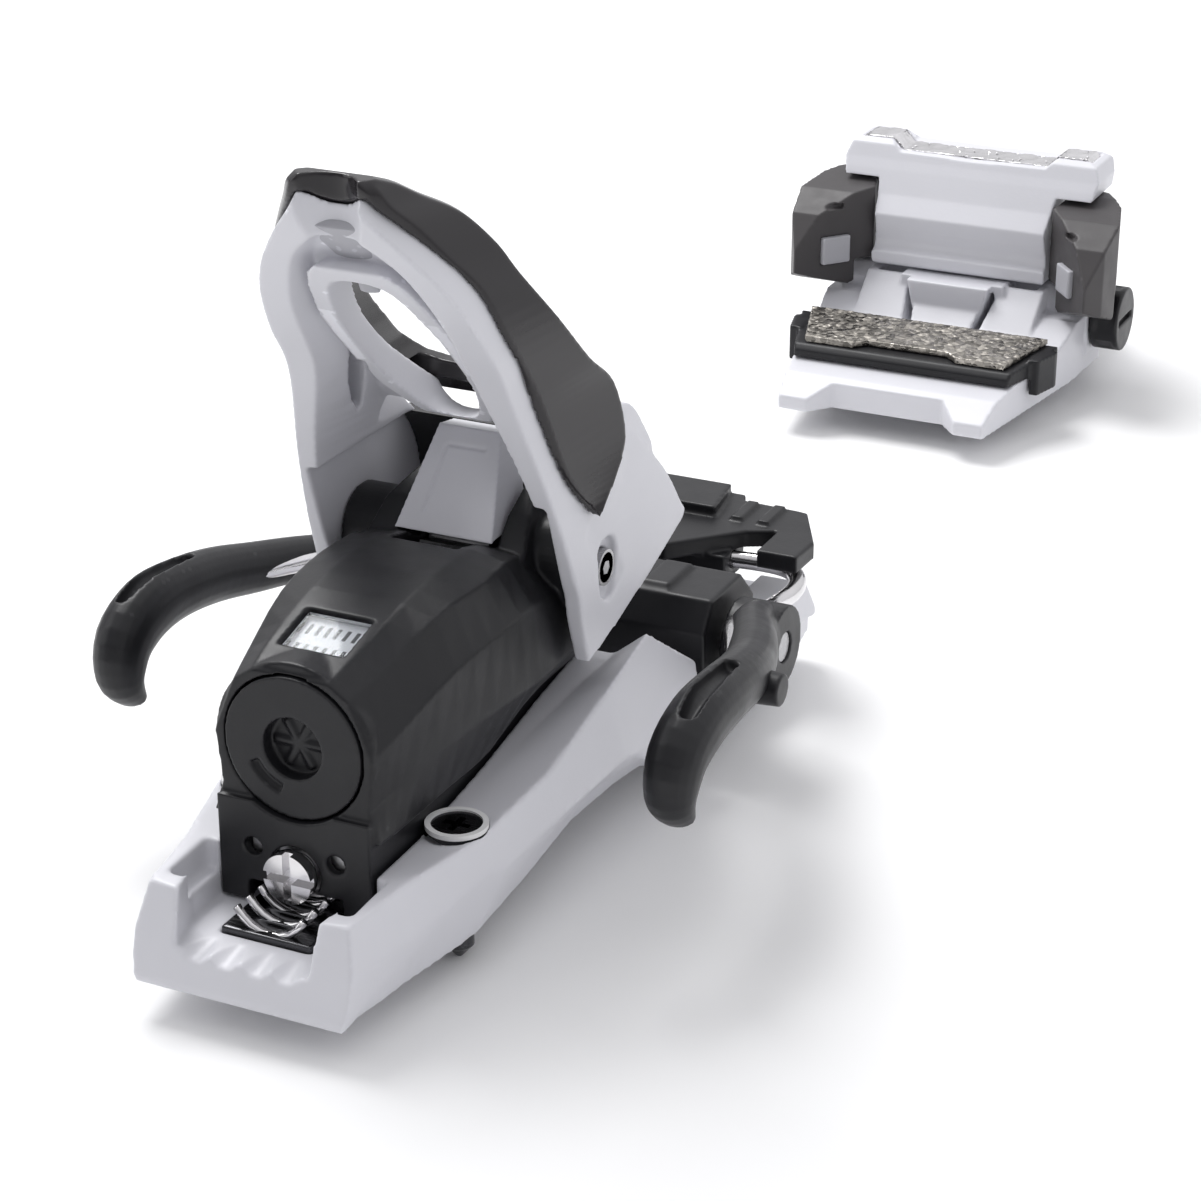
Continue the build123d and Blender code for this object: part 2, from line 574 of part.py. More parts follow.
# ---------------------------------------------------------------- toe: fixed to the ski
def toe_base():
    """White base plate of the toe piece: two rear feet, AFD bed, spring tube and front tongue."""
    plan = [
        (-28, 0), (-20, 0), (-15, 6), (15, 6), (20, 0), (28, 0), (35.6, 52), (36.6, 74), (30, 98),
        (24, 114), (-24, 114), (-30, 98),
        (-36.6, 74), (-35.6, 52),
    ]
    side = [
        (-1, -1), (0, 3.5), (8, 7.8), (18, 9.4), (37, 9.4), (44, 12), (54, 16), (57, 16), (78, 16),
        (92, 12), (115, 9), (115, -1),
    ]
    slab = plan_prism(plan, 0, 30) & side_prism(side, -40, 40)
    deck = plan_prism([(-25, 44), (25, 44), (25.5, 100), (20, 104), (-20, 104),
        (-25.5, 100)], 5, 22) & side_prism(
        [(44, 5), (44, 11), (57, 22), (96, 22), (104, 8), (104, 5)], -30, 30
    )
    tube = side_prism([(60.4, 5), (60.4, 19), (63, 22.6), (74, 22.6), (77, 19), (77, 5)], -34, TUBE_END_X)
    under = box(-22, 22, 10, 48, -1, 3)
    bore = rod_x(TOE_SPRING_Y, TOE_SPRING_Z, TOE_BORE_R, -30, 40)
    pins = rod_z(WING_PIN_X, WING_PIN_Y, WING_PIN_R, PIN_FOOT_Z, 30)
    pins += rod_z(-WING_PIN_X, WING_PIN_Y, WING_PIN_R, PIN_FOOT_Z, 30)
    slots = box(12.5, 23, 56, 62, 22, 24) + box(-23, -12.5, 56, 62, 22, 24)
    body = slab + deck + tube - under - bore - pins - slots
    return body - screw_holes(TOE_SCREW_YS, TOE_SEATS)


def afd_carrier():
    """Black carrier clipped across the base, with a hook at each end."""
    bar = plan_prism([(-29.5, 14.5), (29.5, 14.5), (36, 36.5), (-36, 36.5)], 9.5, 16) & side_prism(
        [(14, 9.5), (14, 11), (16, 12.9), (37, 14.9), (37, 9.5)], -40, 40
    )
    hook = box(31.5, 36.6, 24, 34, 5.0, 14.4) & plan_prism([(29, 10), (34.6, 24), (37.6, 36),
        (29, 36)], 0, 20)
    hook -= plan_prism([(-28.6, 0), (28.6, 0), (36.2, 52), (36.8, 60), (-36.8, 60)], 0, 9.5)
    screws = screw_holes((TOE_SCREW_YS[0],), (TOE_SEATS[0],))
    return bar + hook + left_of(hook) - screws


def afd_plate():
    """Textured steel slide plate, wider to the front, with a notched back edge."""
    plan = [(-27.5, 17), (-14, 17), (-11, 19.5), (11, 19.5), (14, 17), (27.5, 17), (33.1, 36.4),
        (-33.1, 36.4)]
    return plan_prism(plan, 12, 20) & side_prism([(16, 13.1), (16, 14.7), (37, 16.7), (37, 15.1)], -40, 40)


def toe_housing():
    """White head over the wings: stepped back face, raised ears and a sloping nose."""
    side = [
        (59.0, 23.4), (58.5, 30), (57.5, 36.5), (59.5, 41), (62.5, 46.5), (65.0, 50.4), (67.0, 54.6),
        (70.0, 56.6), (80, 56.0),
        (94, 44), (104, 28), (104, 23.4),
    ]
    rear = [
        (23.4, 22), (24.6, 25), (23.8, 36.5), (24.6, WING_TOP_Z + 0.2), (34.8, WING_TOP_Z + 0.2),
        (35.8, 51.0), (34.4, 54.8),
        (31.5, 56.2), (23.5, 56.2), (20.5, 53.2), (0, 52.8),
    ]
    head = side_prism(side, -40, 40) & rear_prism(mirrored(rear), 50, 110)
    hollow = box(-20, 20, 68, 92, 22, 40)
    pins = rod_z(WING_PIN_X, WING_PIN_Y, WING_PIN_R, 40, 50) + rod_z(-WING_PIN_X, WING_PIN_Y,
        WING_PIN_R, 40, 50)
    nose_taper = plan_prism([(24, 112), (24, 100), (36, 80), (44, 80), (44, 112)], 20, 62)
    top_bed = rear_prism(mirrored([(20.5, 52.0), (23.5, 55.0), (32.6, 55.0), (33.0, 60)]), 69.0, 79.0)
    return head - hollow - pins - nose_taper - left_of(nose_taper) - top_bed


def toe_top_insert():
    """Polished strip across the top of the toe head."""
    section = [(20.3, 52.1), (23.4, 55.1), (32.4, 55.1), (31.2, 56.3), (23.3, 56.3), (20.2, 53.3)]
    return rear_prism(mirrored(section), 69.1, 78.9)


def toe_wing_pins():
    return both(rod_z(WING_PIN_X, WING_PIN_Y, WING_PIN_R, PIN_FOOT_Z + 0.1, 49.9))


def toe_wing():
    """Right-hand jaw: a faceted plate that holds the side of the boot's toe and turns on its pin."""
    plan = [
        (40.6, 41.0), (25.0, 60.5), (26.4, 66), (26.2, 74), (31, 77), (36, 75.5), (42.2, 66),
        (44.8, 56), (43.8, 47),
    ]
    side = [
        (40, 23.6), (46, 21.0), (54.8, 17.8), (56.0, 18.6), (56.0, 24.5), (78, 24.5),
        (78, WING_TOP_Z), (70, WING_TOP_Z),
        (55.8, 43.4), (47, 38.5), (40, 27.5),
    ]
    wing = plan_prism(plan, 10, 50) & side_prism(side, 20, 50)
    wing -= rod_z(WING_PIN_X, WING_PIN_Y, WING_PIN_R + FIT, 0, 60)
    return wing - wing_pad_block(0.0)


def wing_pad_block(shrink):
    """The block where the contact pad is set in the jaw's inner face."""
    middle = Pos(33.2, 51.4, 28.2) * Rot(0, 0, -51.3)
    return middle * Box(8.6 - shrink, 4.0 - shrink, 7.6 - shrink)


def wing_pad():
    return wing_pad_block(0.02)


# ---------------------------------------------------------------- toe: release spring across the base
def toe_din_cap():
    """Black cap at the right-hand end of the toe spring, with its screw."""
    cap = rod_x(TOE_SPRING_Y, TOE_SPRING_Z, TOE_CAP_R, 37.2, 44.8)
    flats = None
    for i in range(8):
        edge = Pos(41, TOE_SPRING_Y, TOE_SPRING_Z) * Rot(45 * i, 0, 0) * Pos(0, TOE_CAP_R + 0.6,
            0) * Box(5, 2, 4)
        flats = edge if flats is None else flats + edge
    slot = box(43.2, 46, TOE_SPRING_Y - 6, TOE_SPRING_Y + 6, TOE_SPRING_Z - 0.9, TOE_SPRING_Z + 0.9)
    return cap - flats - slot


def toe_din_screw():
    return rod_x(TOE_SPRING_Y, TOE_SPRING_Z, TOE_SCREW_R, -28.5, 37.2)


def toe_spring_nut():
    """Nut at the spring's left-hand end; the screw draws it to the right to load the spring."""
    nut = rod_x(TOE_SPRING_Y, TOE_SPRING_Z, TOE_BORE_R - GAP, -28.0, -23.0)
    return nut - rod_x(TOE_SPRING_Y, TOE_SPRING_Z, TOE_SCREW_R + FIT, -30, -20)


def toe_spring():
    return Pos(-21.8, TOE_SPRING_Y, TOE_SPRING_Z) * Rot(0, 90, 0) * coil(4.9, 1.1, 8, 44.9)


def toe_spring_plug():
    """Plug that closes the bore at its right-hand end and seats the spring."""
    plug = rod_x(TOE_SPRING_Y, TOE_SPRING_Z, TOE_BORE_R - FIT, 24.4, 36.6)
    return plug - rod_x(TOE_SPRING_Y, TOE_SPRING_Z, TOE_SCREW_R + FIT, 20, 40)


# ---------------------------------------------------------------- what is written
HEEL = Pos(0, HEEL_BACK_Y, 0)
TOE = Pos(0, TOE_BACK_Y, 0)

NODES = {
    "heel_track": (HEEL, heel_track),
    "heel_rack": (HEEL, heel_rack),
    "heel_mounting_screws": (HEEL, lambda: mounting_screws(HEEL_SCREW_YS, HEEL_SEATS)),
    "brake_base": (HEEL, brake_base),
    "brake_pivot_pins": (HEEL, brake_pivot_pins),
    "adjuster_bracket": (HEEL, adjuster_bracket),
    "forward_pressure_springs": (HEEL, forward_pressure_springs),
    "length_adjust_screw": (HEEL, length_adjust_screw),
    "heel_housing": (HEEL, heel_housing),
    "indicator_scale": (HEEL, indicator_scale),
    "indicator_window": (HEEL, indicator_window),
    "heel_release_spring": (HEEL, heel_release_spring),
    "heel_spine": (HEEL, heel_spine),
    "pivot_bushings": (HEEL, pivot_bushings),
    "heel_din_cap": (HEEL, heel_din_cap),
    "heel_spring_nut": (HEEL, heel_spring_nut),
    "heel_piston": (HEEL, heel_piston),
    "piston_roller": (HEEL, piston_roller),
    "piston_roller_pin": (HEEL, piston_roller_pin),
    "lever_frame": (HEEL, lever_frame),
    "lever_cover": (HEEL, lever_cover),
    "lever_bridge": (HEEL, lever_bridge),
    "heel_cup": (HEEL, heel_cup),
    "treadle": (HEEL, treadle),
    "lever_cam": (HEEL, lever_cam),
    "pivot_axle": (HEEL, pivot_axle),
    "pivot_screws": (HEEL, pivot_screws),
    "brake_pad_right": (HEEL, brake_pad),
    "brake_pad_left": (HEEL, lambda: left_of(brake_pad())),
    "brake_wires": (HEEL, lambda: both(brake_wire())),
    "brake_knobs": (HEEL, lambda: both(brake_knob())),
    "brake_pedal": (HEEL, brake_pedal),
    "brake_spring": (HEEL, brake_spring),
    "toe_base": (TOE, toe_base),
    "toe_mounting_screws": (TOE, lambda: mounting_screws(TOE_SCREW_YS, TOE_SEATS)),
    "afd_carrier": (TOE, afd_carrier),
    "afd_plate": (TOE, afd_plate),
    "toe_housing": (TOE, toe_housing),
    "toe_top_insert": (TOE, toe_top_insert),
    "toe_wing_pins": (TOE, toe_wing_pins),
    "toe_wing_right": (TOE, toe_wing),
    "toe_wing_left": (TOE, lambda: left_of(toe_wing())),
    "wing_pad_right": (TOE, wing_pad),
    "wing_pad_left": (TOE, lambda: left_of(wing_pad())),
    "toe_din_cap": (TOE, toe_din_cap),
    "toe_din_screw": (TOE, toe_din_screw),
    "toe_spring_nut": (TOE, toe_spring_nut),
    "toe_spring": (TOE, toe_spring),
    "toe_spring_plug": (TOE, toe_spring_plug),
}

os.makedirs("parts", exist_ok=True)
for name, (place, make) in NODES.items():
    solids = [place * solid for solid in make().solids()]
    export_step(solids[0] if len(solids) == 1 else Compound(children=solids), f"parts/{name}.step")
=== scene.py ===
import json
import math

import bmesh
import bpy
import numpy as np
from mathutils import Matrix, Vector, noise


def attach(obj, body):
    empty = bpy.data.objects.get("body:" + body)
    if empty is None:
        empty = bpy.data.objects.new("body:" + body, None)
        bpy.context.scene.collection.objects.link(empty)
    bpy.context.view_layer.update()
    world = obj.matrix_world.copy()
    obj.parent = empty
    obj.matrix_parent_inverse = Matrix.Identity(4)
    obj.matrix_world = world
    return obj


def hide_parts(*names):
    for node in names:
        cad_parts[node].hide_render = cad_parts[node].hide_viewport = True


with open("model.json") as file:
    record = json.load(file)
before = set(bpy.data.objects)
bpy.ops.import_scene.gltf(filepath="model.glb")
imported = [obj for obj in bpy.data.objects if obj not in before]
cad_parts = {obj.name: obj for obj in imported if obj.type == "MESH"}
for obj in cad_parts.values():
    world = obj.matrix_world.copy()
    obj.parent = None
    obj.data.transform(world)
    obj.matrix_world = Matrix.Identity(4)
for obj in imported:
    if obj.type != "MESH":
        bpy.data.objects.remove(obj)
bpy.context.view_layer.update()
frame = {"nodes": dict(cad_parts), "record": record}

MM = 0.001
HEEL = -86.7
TOE = 227.8
SCREW_TIP_Z = -0.0065


# ---------------------------------------------------------------- outlines
def smooth(rows, steps, closed=False):
    """Rows of numbers with a Catmull-Rom curve run through them, steps points per span."""
    p = np.array(rows, float)
    n = len(p)
    out = []
    spans = n if closed else n - 1
    for i in range(spans):
        if closed:
            a, b, c, d = p[(i - 1) % n], p[i], p[(i + 1) % n], p[(i + 2) % n]
        else:
            a, b, c, d = p[max(i - 1, 0)], p[i], p[i + 1], p[min(i + 2, n - 1)]
        for s in range(steps):
            t = s / steps
            bend, twist = 2 * a - 5 * b + 4 * c - d, 3 * b - 3 * c + d - a
            out.append(0.5 * (2 * b + (c - a) * t + bend * t * t + twist * t ** 3))
    if not closed:
        out.append(p[-1])
    return [tuple(r) for r in out]


def mirrored(half):
    """A right-hand half outline closed with its left-hand mirror image."""
    return list(half) + [(-x, *rest) for x, *rest in reversed(half) if abs(x) > 1e-6]


# ---------------------------------------------------------------- solids
def new_object(name, mesh):
    obj = bpy.data.objects.new(name, mesh)
    bpy.context.scene.collection.objects.link(obj)
    return obj


def loft(rings, origin_y, name="solid"):
    """A closed skin through rings of (x, y, z) points in millimetres, capped at both ends."""
    verts = [(x * MM, (y + origin_y) * MM, z * MM) for ring in rings for x, y, z in ring]
    n = len(rings[0])
    faces = [tuple(range(n))[::-1], tuple(range(len(verts) - n, len(verts)))]
    for i in range(len(rings) - 1):
        for j in range(n):
            a, b = i * n + j, i * n + (j + 1) % n
            faces.append((a, b, b + n, a + n))
    mesh = bpy.data.meshes.new(name)
    mesh.from_pydata(verts, [], faces)
    bm = bmesh.new()
    bm.from_mesh(mesh)
    bmesh.ops.recalc_face_normals(bm, faces=bm.faces)
    bm.to_mesh(mesh)
    bm.free()
    return new_object(name, mesh)


def side_solid(outline, x0, x1, origin_y):
    """A (y, z) outline run from x0 to x1."""
    return loft([[(x, y, z) for y, z in outline] for x in (x0, x1)], origin_y)


def plan_solid(outline, z0, z1, origin_y):
    """An (x, y) outline run from z0 to z1."""
    return loft([[(x, y, z) for x, y in outline] for z in (z0, z1)], origin_y)


def rear_solid(outline, y0, y1, origin_y):
    """An (x, z) outline run from y0 to y1."""
    return loft([[(x, y, z) for x, z in outline] for y in (y0, y1)], origin_y)


def block(x0, x1, y0, y1, z0, z1, origin_y):
    return plan_solid([(x0, y0), (x1, y0), (x1, y1), (x0, y1)], z0, z1, origin_y)


def rod(start, end, r, origin_y, r_end=None, count=40):
    """A round bar between two points; r_end tapers it."""
    a, b = Vector(start), Vector(end)
    along = (b - a).normalized()
    side = along.orthogonal().normalized()
    up = along.cross(side)
    rings = []
    for point, radius in ((a, r), (b, r if r_end is None else r_end)):
        ring = []
        for i in range(count):
            t = 2 * math.pi * i / count
            ring.append(tuple(point + (side * math.cos(t) + up * math.sin(t)) * radius))
        rings.append(ring)
    return loft(rings, origin_y)


def tube(points, sizes, origin_y, count=24, flat=None):
    """A rod bent through points; sizes gives (across, up) half widths at each.

    flat fixes the across direction.
    """
    rings = []
    pts = [Vector(p) for p in points]
    for i, p in enumerate(pts):
        along = (pts[min(i + 1, len(pts) - 1)] - pts[max(i - 1, 0)]).normalized()
        across = Vector(flat if flat else (1, 0, 0))
        across = (across - along * across.dot(along)).normalized()
        up = along.cross(across)
        w, h = sizes[i]
        ring = []
        for k in range(count):
            t = 2 * math.pi * k / count
            ring.append(tuple(p + across * (w * math.cos(t)) + up * (h * math.sin(t))))
        rings.append(ring)
    return loft(rings, origin_y)


# ---------------------------------------------------------------- working on solids
def settle(obj):
    """Applies the object's modifiers to its mesh."""
    dg = bpy.context.evaluated_depsgraph_get()
    mesh = bpy.data.meshes.new_from_object(obj.evaluated_get(dg))
    old = obj.data
    obj.modifiers.clear()
    obj.data = mesh
    if old.users == 0:
        bpy.data.meshes.remove(old)
    return obj


def boolean(obj, others, operation):
    for other in others:
        m = obj.modifiers.new("b", "BOOLEAN")
        m.operation = operation
        m.solver = "MANIFOLD"
        m.object = other
    bpy.context.view_layer.update()
    settle(obj)
    for other in others:
        bpy.data.objects.remove(other)
    return obj


def cut(obj, *others):
    return boolean(obj, others, "DIFFERENCE")


def fuse(obj, *others):
    return boolean(obj, others, "UNION")


def common(obj, *others):
    return boolean(obj, others, "INTERSECT")


def mirror_copy(obj):
    """A left-hand copy of a right-hand solid."""
    twin = new_object(obj.name, obj.data.copy())
    twin.data.transform(Matrix.Scale(-1, 4, (1, 0, 0)))
    twin.data.flip_normals()
    return twin


def both(obj):
    """A right-hand or left-hand solid and its mirror image."""
    return obj, mirror_copy(obj)


def copy_of(node):
    """A working copy of a CAD node's mesh, its seams welded."""
    mesh = frame["nodes"][node].data.copy()
    bm = bmesh.new()
    bm.from_mesh(mesh)
    bmesh.ops.remove_doubles(bm, verts=bm.verts, dist=1e-7)
    bmesh.ops.recalc_face_normals(bm, faces=bm.faces)
    bm.to_mesh(mesh)
    bm.free()
    return new_object("solid", mesh)


def mould(obj, voxel, relax, keep=1.0):
    """Rounds every edge as a mould does: a fine remesh, a few smoothing passes, then thinning."""
    m = obj.modifiers.new("voxels", "REMESH")
    m.mode = "VOXEL"
    m.voxel_size = voxel * MM
    if relax:
        m = obj.modifiers.new("relax", "SMOOTH")
        m.factor = 0.5
        m.iterations = relax
    if keep < 1:
        m = obj.modifiers.new("thin", "DECIMATE")
        m.ratio = keep
    bpy.context.view_layer.update()
    return settle(obj)


def piece(obj, name, node, material, replaced=None):
    """Names a finished mesh, hangs it on its node's body and lets it stand for the node."""
    obj.name = name
    obj.data.name = name
    obj.data.materials.clear()
    obj.data.materials.append(material)
    for polygon in obj.data.polygons:
        polygon.use_smooth = True
    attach(obj, BODY_OF[node])
    for n in replaced or [node]:
        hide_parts(n)
        REPLACED.add(n)
    return obj


BODY_OF = {n: body for body, nodes in frame["record"]["behaviour"]["bodies"].items() for n in nodes}
SLOT_OF = {s["node"]: s["material_slot"] for s in frame["record"]["subparts"]}
REPLACED = set()


# ---------------------------------------------------------------- materials
def node_tree(name):
    mat = bpy.data.materials.new(name)
    mat.use_nodes = True
    tree = mat.node_tree
    return mat, tree, tree.nodes["Principled BSDF"]


def add(tree, kind, **values):
    node = tree.nodes.new(kind)
    for key, value in values.items():
        if hasattr(node, key):
            setattr(node, key, value)
        else:
            node.inputs[key.replace("_", " ")].default_value = value
    return node


def noise_field(tree, scale, detail=3.0, rough=0.55):
    """Noise over the row frame, scale in bumps per metre."""
    place = add(tree, "ShaderNodeTexCoord")
    field = add(tree, "ShaderNodeTexNoise", Scale=scale, Detail=detail, Roughness=rough)
    tree.links.new(place.outputs["Object"], field.inputs["Vector"])
    return field.outputs["Fac"]


def spread(tree, source, low, high, low_at=0.3, high_at=0.7):
    """Maps a 0..1 field to low..high."""
    node = add(tree, "ShaderNodeMapRange", From_Min=low_at, From_Max=high_at, To_Min=low, To_Max=high)
    tree.links.new(source, node.inputs["Value"])
    return node.outputs["Result"]


def tinted(tree, source, dark, light):
    node = add(tree, "ShaderNodeMix", data_type="RGBA")
    node.inputs[6].default_value = (*dark, 1)
    node.inputs[7].default_value = (*light, 1)
    tree.links.new(source, node.inputs["Factor"])
    return node.outputs[2]


def bumped(tree, shader, source, strength, distance):
    node = add(tree, "ShaderNodeBump", Strength=strength, Distance=distance)
    tree.links.new(source, node.inputs["Height"])
    tree.links.new(node.outputs["Normal"], shader.inputs["Normal"])
    return node


def plastic(name, colour, rough, grain=1400.0, grain_depth=0.00003, change=0.06, specular=0.5, coat=0.0):
    """Moulded plastic or paint: a fine spark-eroded grain, slow cloudy changes of tone, and a painted
    highlight that lightens the colour on sharp convex edges.
    """
    mat, tree, shader = node_tree(name)
    cloud = noise_field(tree, 28.0)
    grit = noise_field(tree, grain, 2.0, 0.6)
    dark = [c * (1 - change) for c in colour]
    light = [min(c * (1 + change), 1.0) for c in colour]
    tone = tinted(tree, spread(tree, cloud, 0, 1), dark, light)
    # painted highlight: sharp convex edges get a lighter base colour, standing in for the light that catches
    # them
    edge = add(tree, "ShaderNodeNewGeometry")
    edge_highlight_mask = spread(tree, edge.outputs["Pointiness"], 0.0, 1.0, 0.53, 0.62)
    painted_edge_highlight = add(tree, "ShaderNodeMix", data_type="RGBA")
    tree.links.new(tone, painted_edge_highlight.inputs[6])
    painted_edge_highlight.inputs[7].default_value = (*[min(c * 1.25 + 0.012, 1.0) for c in colour], 1)
    tree.links.new(edge_highlight_mask, painted_edge_highlight.inputs["Factor"])
    tree.links.new(painted_edge_highlight.outputs[2], shader.inputs["Base Color"])
    sheen = spread(tree, noise_field(tree, 160.0), rough * 0.88, rough * 1.12)
    tree.links.new(sheen, shader.inputs["Roughness"])
    shader.inputs["Specular IOR Level"].default_value = specular
    shader.inputs["Coat Weight"].default_value = coat
    shader.inputs["Coat Roughness"].default_value = 0.08
    bumped(tree, shader, grit, 0.6, grain_depth)
    return mat


def metal(name, colour, rough, grain=900.0, grain_depth=0.00001, change=0.12):
    """Steel with faint drawing lines and uneven polish."""
    mat, tree, shader = node_tree(name)
    place = add(tree, "ShaderNodeTexCoord")
    stretch = add(tree, "ShaderNodeMapping")
    stretch.inputs["Scale"].default_value = (0.15, 1.0, 1.0)
    tree.links.new(place.outputs["Object"], stretch.inputs["Vector"])
    lines = add(tree, "ShaderNodeTexNoise", Scale=grain, Detail=2.0)
    tree.links.new(stretch.outputs["Vector"], lines.inputs["Vector"])
    dark = [c * (1 - change) for c in colour]
    light = [min(c * (1 + change), 1.0) for c in colour]
    tone = tinted(tree, spread(tree, noise_field(tree, 60.0), 0, 1), dark, light)
    tree.links.new(tone, shader.inputs["Base Color"])
    tree.links.new(spread(tree, lines.outputs["Fac"], rough * 0.7, rough * 1.3), shader.inputs["Roughness"])
    shader.inputs["Metallic"].default_value = 1.0
    bumped(tree, shader, lines.outputs["Fac"], 0.5, grain_depth)
    return mat


def crackled(name, colour, rough, cell, depth):
    """Metal pressed with an irregular crystal pattern."""
    mat, tree, shader = node_tree(name)
    place = add(tree, "ShaderNodeTexCoord")
    cells = add(tree, "ShaderNodeTexVoronoi", Scale=1.0 / cell, feature="F1")
    tree.links.new(place.outputs["Object"], cells.inputs["Vector"])
    edges = add(tree, "ShaderNodeTexVoronoi", Scale=1.0 / cell, feature="DISTANCE_TO_EDGE")
    tree.links.new(place.outputs["Object"], edges.inputs["Vector"])
    tone = add(tree, "ShaderNodeMix", data_type="RGBA")
    tone.inputs[6].default_value = (*[c * 0.45 for c in colour], 1)
    tone.inputs[7].default_value = (*[min(c * 1.35, 1.0) for c in colour], 1)
    grey = add(tree, "ShaderNodeSeparateColor")
    tree.links.new(cells.outputs["Color"], grey.inputs["Color"])
    tree.links.new(grey.outputs["Red"], tone.inputs["Factor"])
    tree.links.new(tone.outputs[2], shader.inputs["Base Color"])
    sheen = spread(tree, grey.outputs["Green"], rough * 0.5, rough * 1.5, 0, 1)
    tree.links.new(sheen, shader.inputs["Roughness"])
    shader.inputs["Metallic"].default_value = 1.0
    bumped(tree, shader, edges.outputs["Distance"], 0.9, depth)
    return mat


def printed_scale(name):
    """White print with a row of plain dark marks."""
    mat, tree, shader = node_tree(name)
    place = add(tree, "ShaderNodeTexCoord")
    marks = add(tree, "ShaderNodeTexWave", Scale=170.0, wave_type="BANDS", bands_direction="X",
                Distortion=0.0)
    tree.links.new(place.outputs["Object"], marks.inputs["Vector"])
    rows = add(tree, "ShaderNodeTexWave", Scale=60.0, wave_type="BANDS", bands_direction="Y", Distortion=0.0)
    tree.links.new(place.outputs["Object"], rows.inputs["Vector"])
    mask = add(tree, "ShaderNodeMath", operation="MULTIPLY")
    tree.links.new(spread(tree, marks.outputs["Fac"], 0, 1, 0.55, 0.7), mask.inputs[0])
    tree.links.new(spread(tree, rows.outputs["Fac"], 0, 1, 0.4, 0.5), mask.inputs[1])
    print_tone = tinted(tree, mask.outputs[0], (0.75, 0.75, 0.76), (0.02, 0.02, 0.022))
    tree.links.new(print_tone, shader.inputs["Base Color"])
    tree.links.new(spread(tree, noise_field(tree, 500.0), 0.35, 0.5), shader.inputs["Roughness"])
    return mat


def clear(name):
    """Clear moulded window with a light haze."""
    mat, tree, shader = node_tree(name)
    shader.inputs["Base Color"].default_value = (0.9, 0.92, 0.94, 1)
    shader.inputs["Transmission Weight"].default_value = 1.0
    shader.inputs["IOR"].default_value = 1.2
    tree.links.new(spread(tree, noise_field(tree, 300.0), 0.02, 0.10), shader.inputs["Roughness"])
    return mat


LAVENDER_WHITE = (0.68, 0.68, 0.72)
MATERIALS = {
    "white_shell": plastic("satin_white_shell", LAVENDER_WHITE, 0.40, change=0.02),
    "white_metal": plastic("satin_white_paint", (0.56, 0.56, 0.60), 0.34, change=0.02, coat=0.15),
    "smoke_shell": plastic("smoke_gloss_shell", (0.022, 0.020, 0.022), 0.18, grain=300.0,
                           grain_depth=0.000006, specular=0.3, coat=0.2),
    "black_shell": plastic("black_satin_shell", (0.011, 0.011, 0.013), 0.40, change=0.15, specular=0.35),
    "dark_grey_shell": plastic("dark_grey_shell", (0.060, 0.056, 0.058), 0.45, change=0.10, specular=0.35),
    "grey_pad": plastic("grey_pad", (0.42, 0.42, 0.45), 0.45),
    "heel_cup_shell": plastic("heel_cup_shell", (0.03, 0.03, 0.033), 0.40, change=0.12, specular=0.35),
    "steel": metal("turned_steel", (0.42, 0.42, 0.43), 0.32),
    "textured_steel": crackled("crackled_steel", (0.34, 0.32, 0.29), 0.38, 0.0016, 0.0002),
    "bright_steel": metal("bright_steel", (0.72, 0.71, 0.72), 0.14),
    "dark_steel": metal("blackened_steel", (0.09, 0.09, 0.095), 0.25),
    "spring_steel": metal("spring_steel", (0.22, 0.22, 0.23), 0.35),
    "printed_scale": printed_scale("printed_scale"),
    "clear_window": clear("clear_window"),
}

# ---------------------------------------------------------------- heel: lever
def stack(sections, steps=4, grow=0.0, corner=0.3):
    """A smooth body through horizontal sections (z, back y, back half width, front y, front half width)."""
    rings = []
    for z, back_y, back_half, front_y, front_half in smooth(sections, steps):
        back, front = back_half + grow, front_half + grow
        y0, y1, c = back_y - grow, front_y + grow, corner
        half = [(back - c, y0), (back, y0 + c), (front, y1 - c), (front - c, y1)]
        rings.append([(x, y, z) for x, y in half] + [(-x, y, z) for x, y in reversed(half)])
    return loft(rings, HEEL)


LEVER_SECTIONS = [
    (34.0, 83.4, 27.4, 84.6, 27.8), (44.0, 79.6, 27.9, 107.2, 28.7), (50.0, 78.2, 28.0, 123.2, 28.7),
    (54.5, 76.4, 27.7, 121.5, 28.7), (64.0, 73.0, 27.0, 113.6, 28.7), (75.0, 69.0, 25.6, 101.0, 28.2),
    (88.0, 64.2, 23.2, 85.0, 26.4), (95.0, 61.0, 22.4, 76.0, 25.4), (101.5, 56.6, 22.3, 69.0, 24.2),
    (110.0, 51.0, 20.6, 61.5, 21.8), (117.0, 46.8, 17.6, 56.0, 19.0), (124.0, 42.4, 12.4, 50.6, 14.2),
    (129.0, 40.0, 8.0, 46.0, 9.6), (132.4, 38.8, 5.4, 42.0, 6.6),
]
COVER_SECTIONS = [
    (65.0, 82.5, 28.6, 84.0, 30.0), (71.0, 76.5, 28.0, 90.0, 30.4), (77.5, 72.2, 27.0, 95.0, 30.0),
    (88.0, 68.2, 25.6, 93.0, 28.6), (95.0, 64.8, 24.8, 85.0, 27.6), (105.0, 58.4, 23.6, 76.0, 25.8),
    (115.0, 53.6, 20.8, 68.0, 22.4), (121.0, 49.4, 17.2, 64.5, 19.8), (127.0, 45.4, 13.4, 60.0, 15.6),
    (131.0, 42.0, 10.4, 54.0, 11.4), (134.0, 40.6, 8.8, 49.0, 9.4), (135.6, 40.8, 7.2, 45.0, 7.8),
]
# the hollow behind the arch: its floor is further back at the top, and its walls lean in towards it
HOLLOW_SECTIONS = [
    (40, 60, 24.4, 130, 24.4), (60, 60, 23.6, 130, 23.8), (67, 60, 22.8, 112, 22.4), (74, 60, 21.8, 98, 20.0),
    (83, 57, 20.4, 84.6, 16.5), (94, 52, 18.4, 74.0, 13.2), (107, 42, 18.2, 61, 12.6),
    (114, 38, 16.2, 55, 11.0), (120, 34, 12.8, 49.5, 8.4), (124.5, 30, 7.0, 45, 4.0),
]
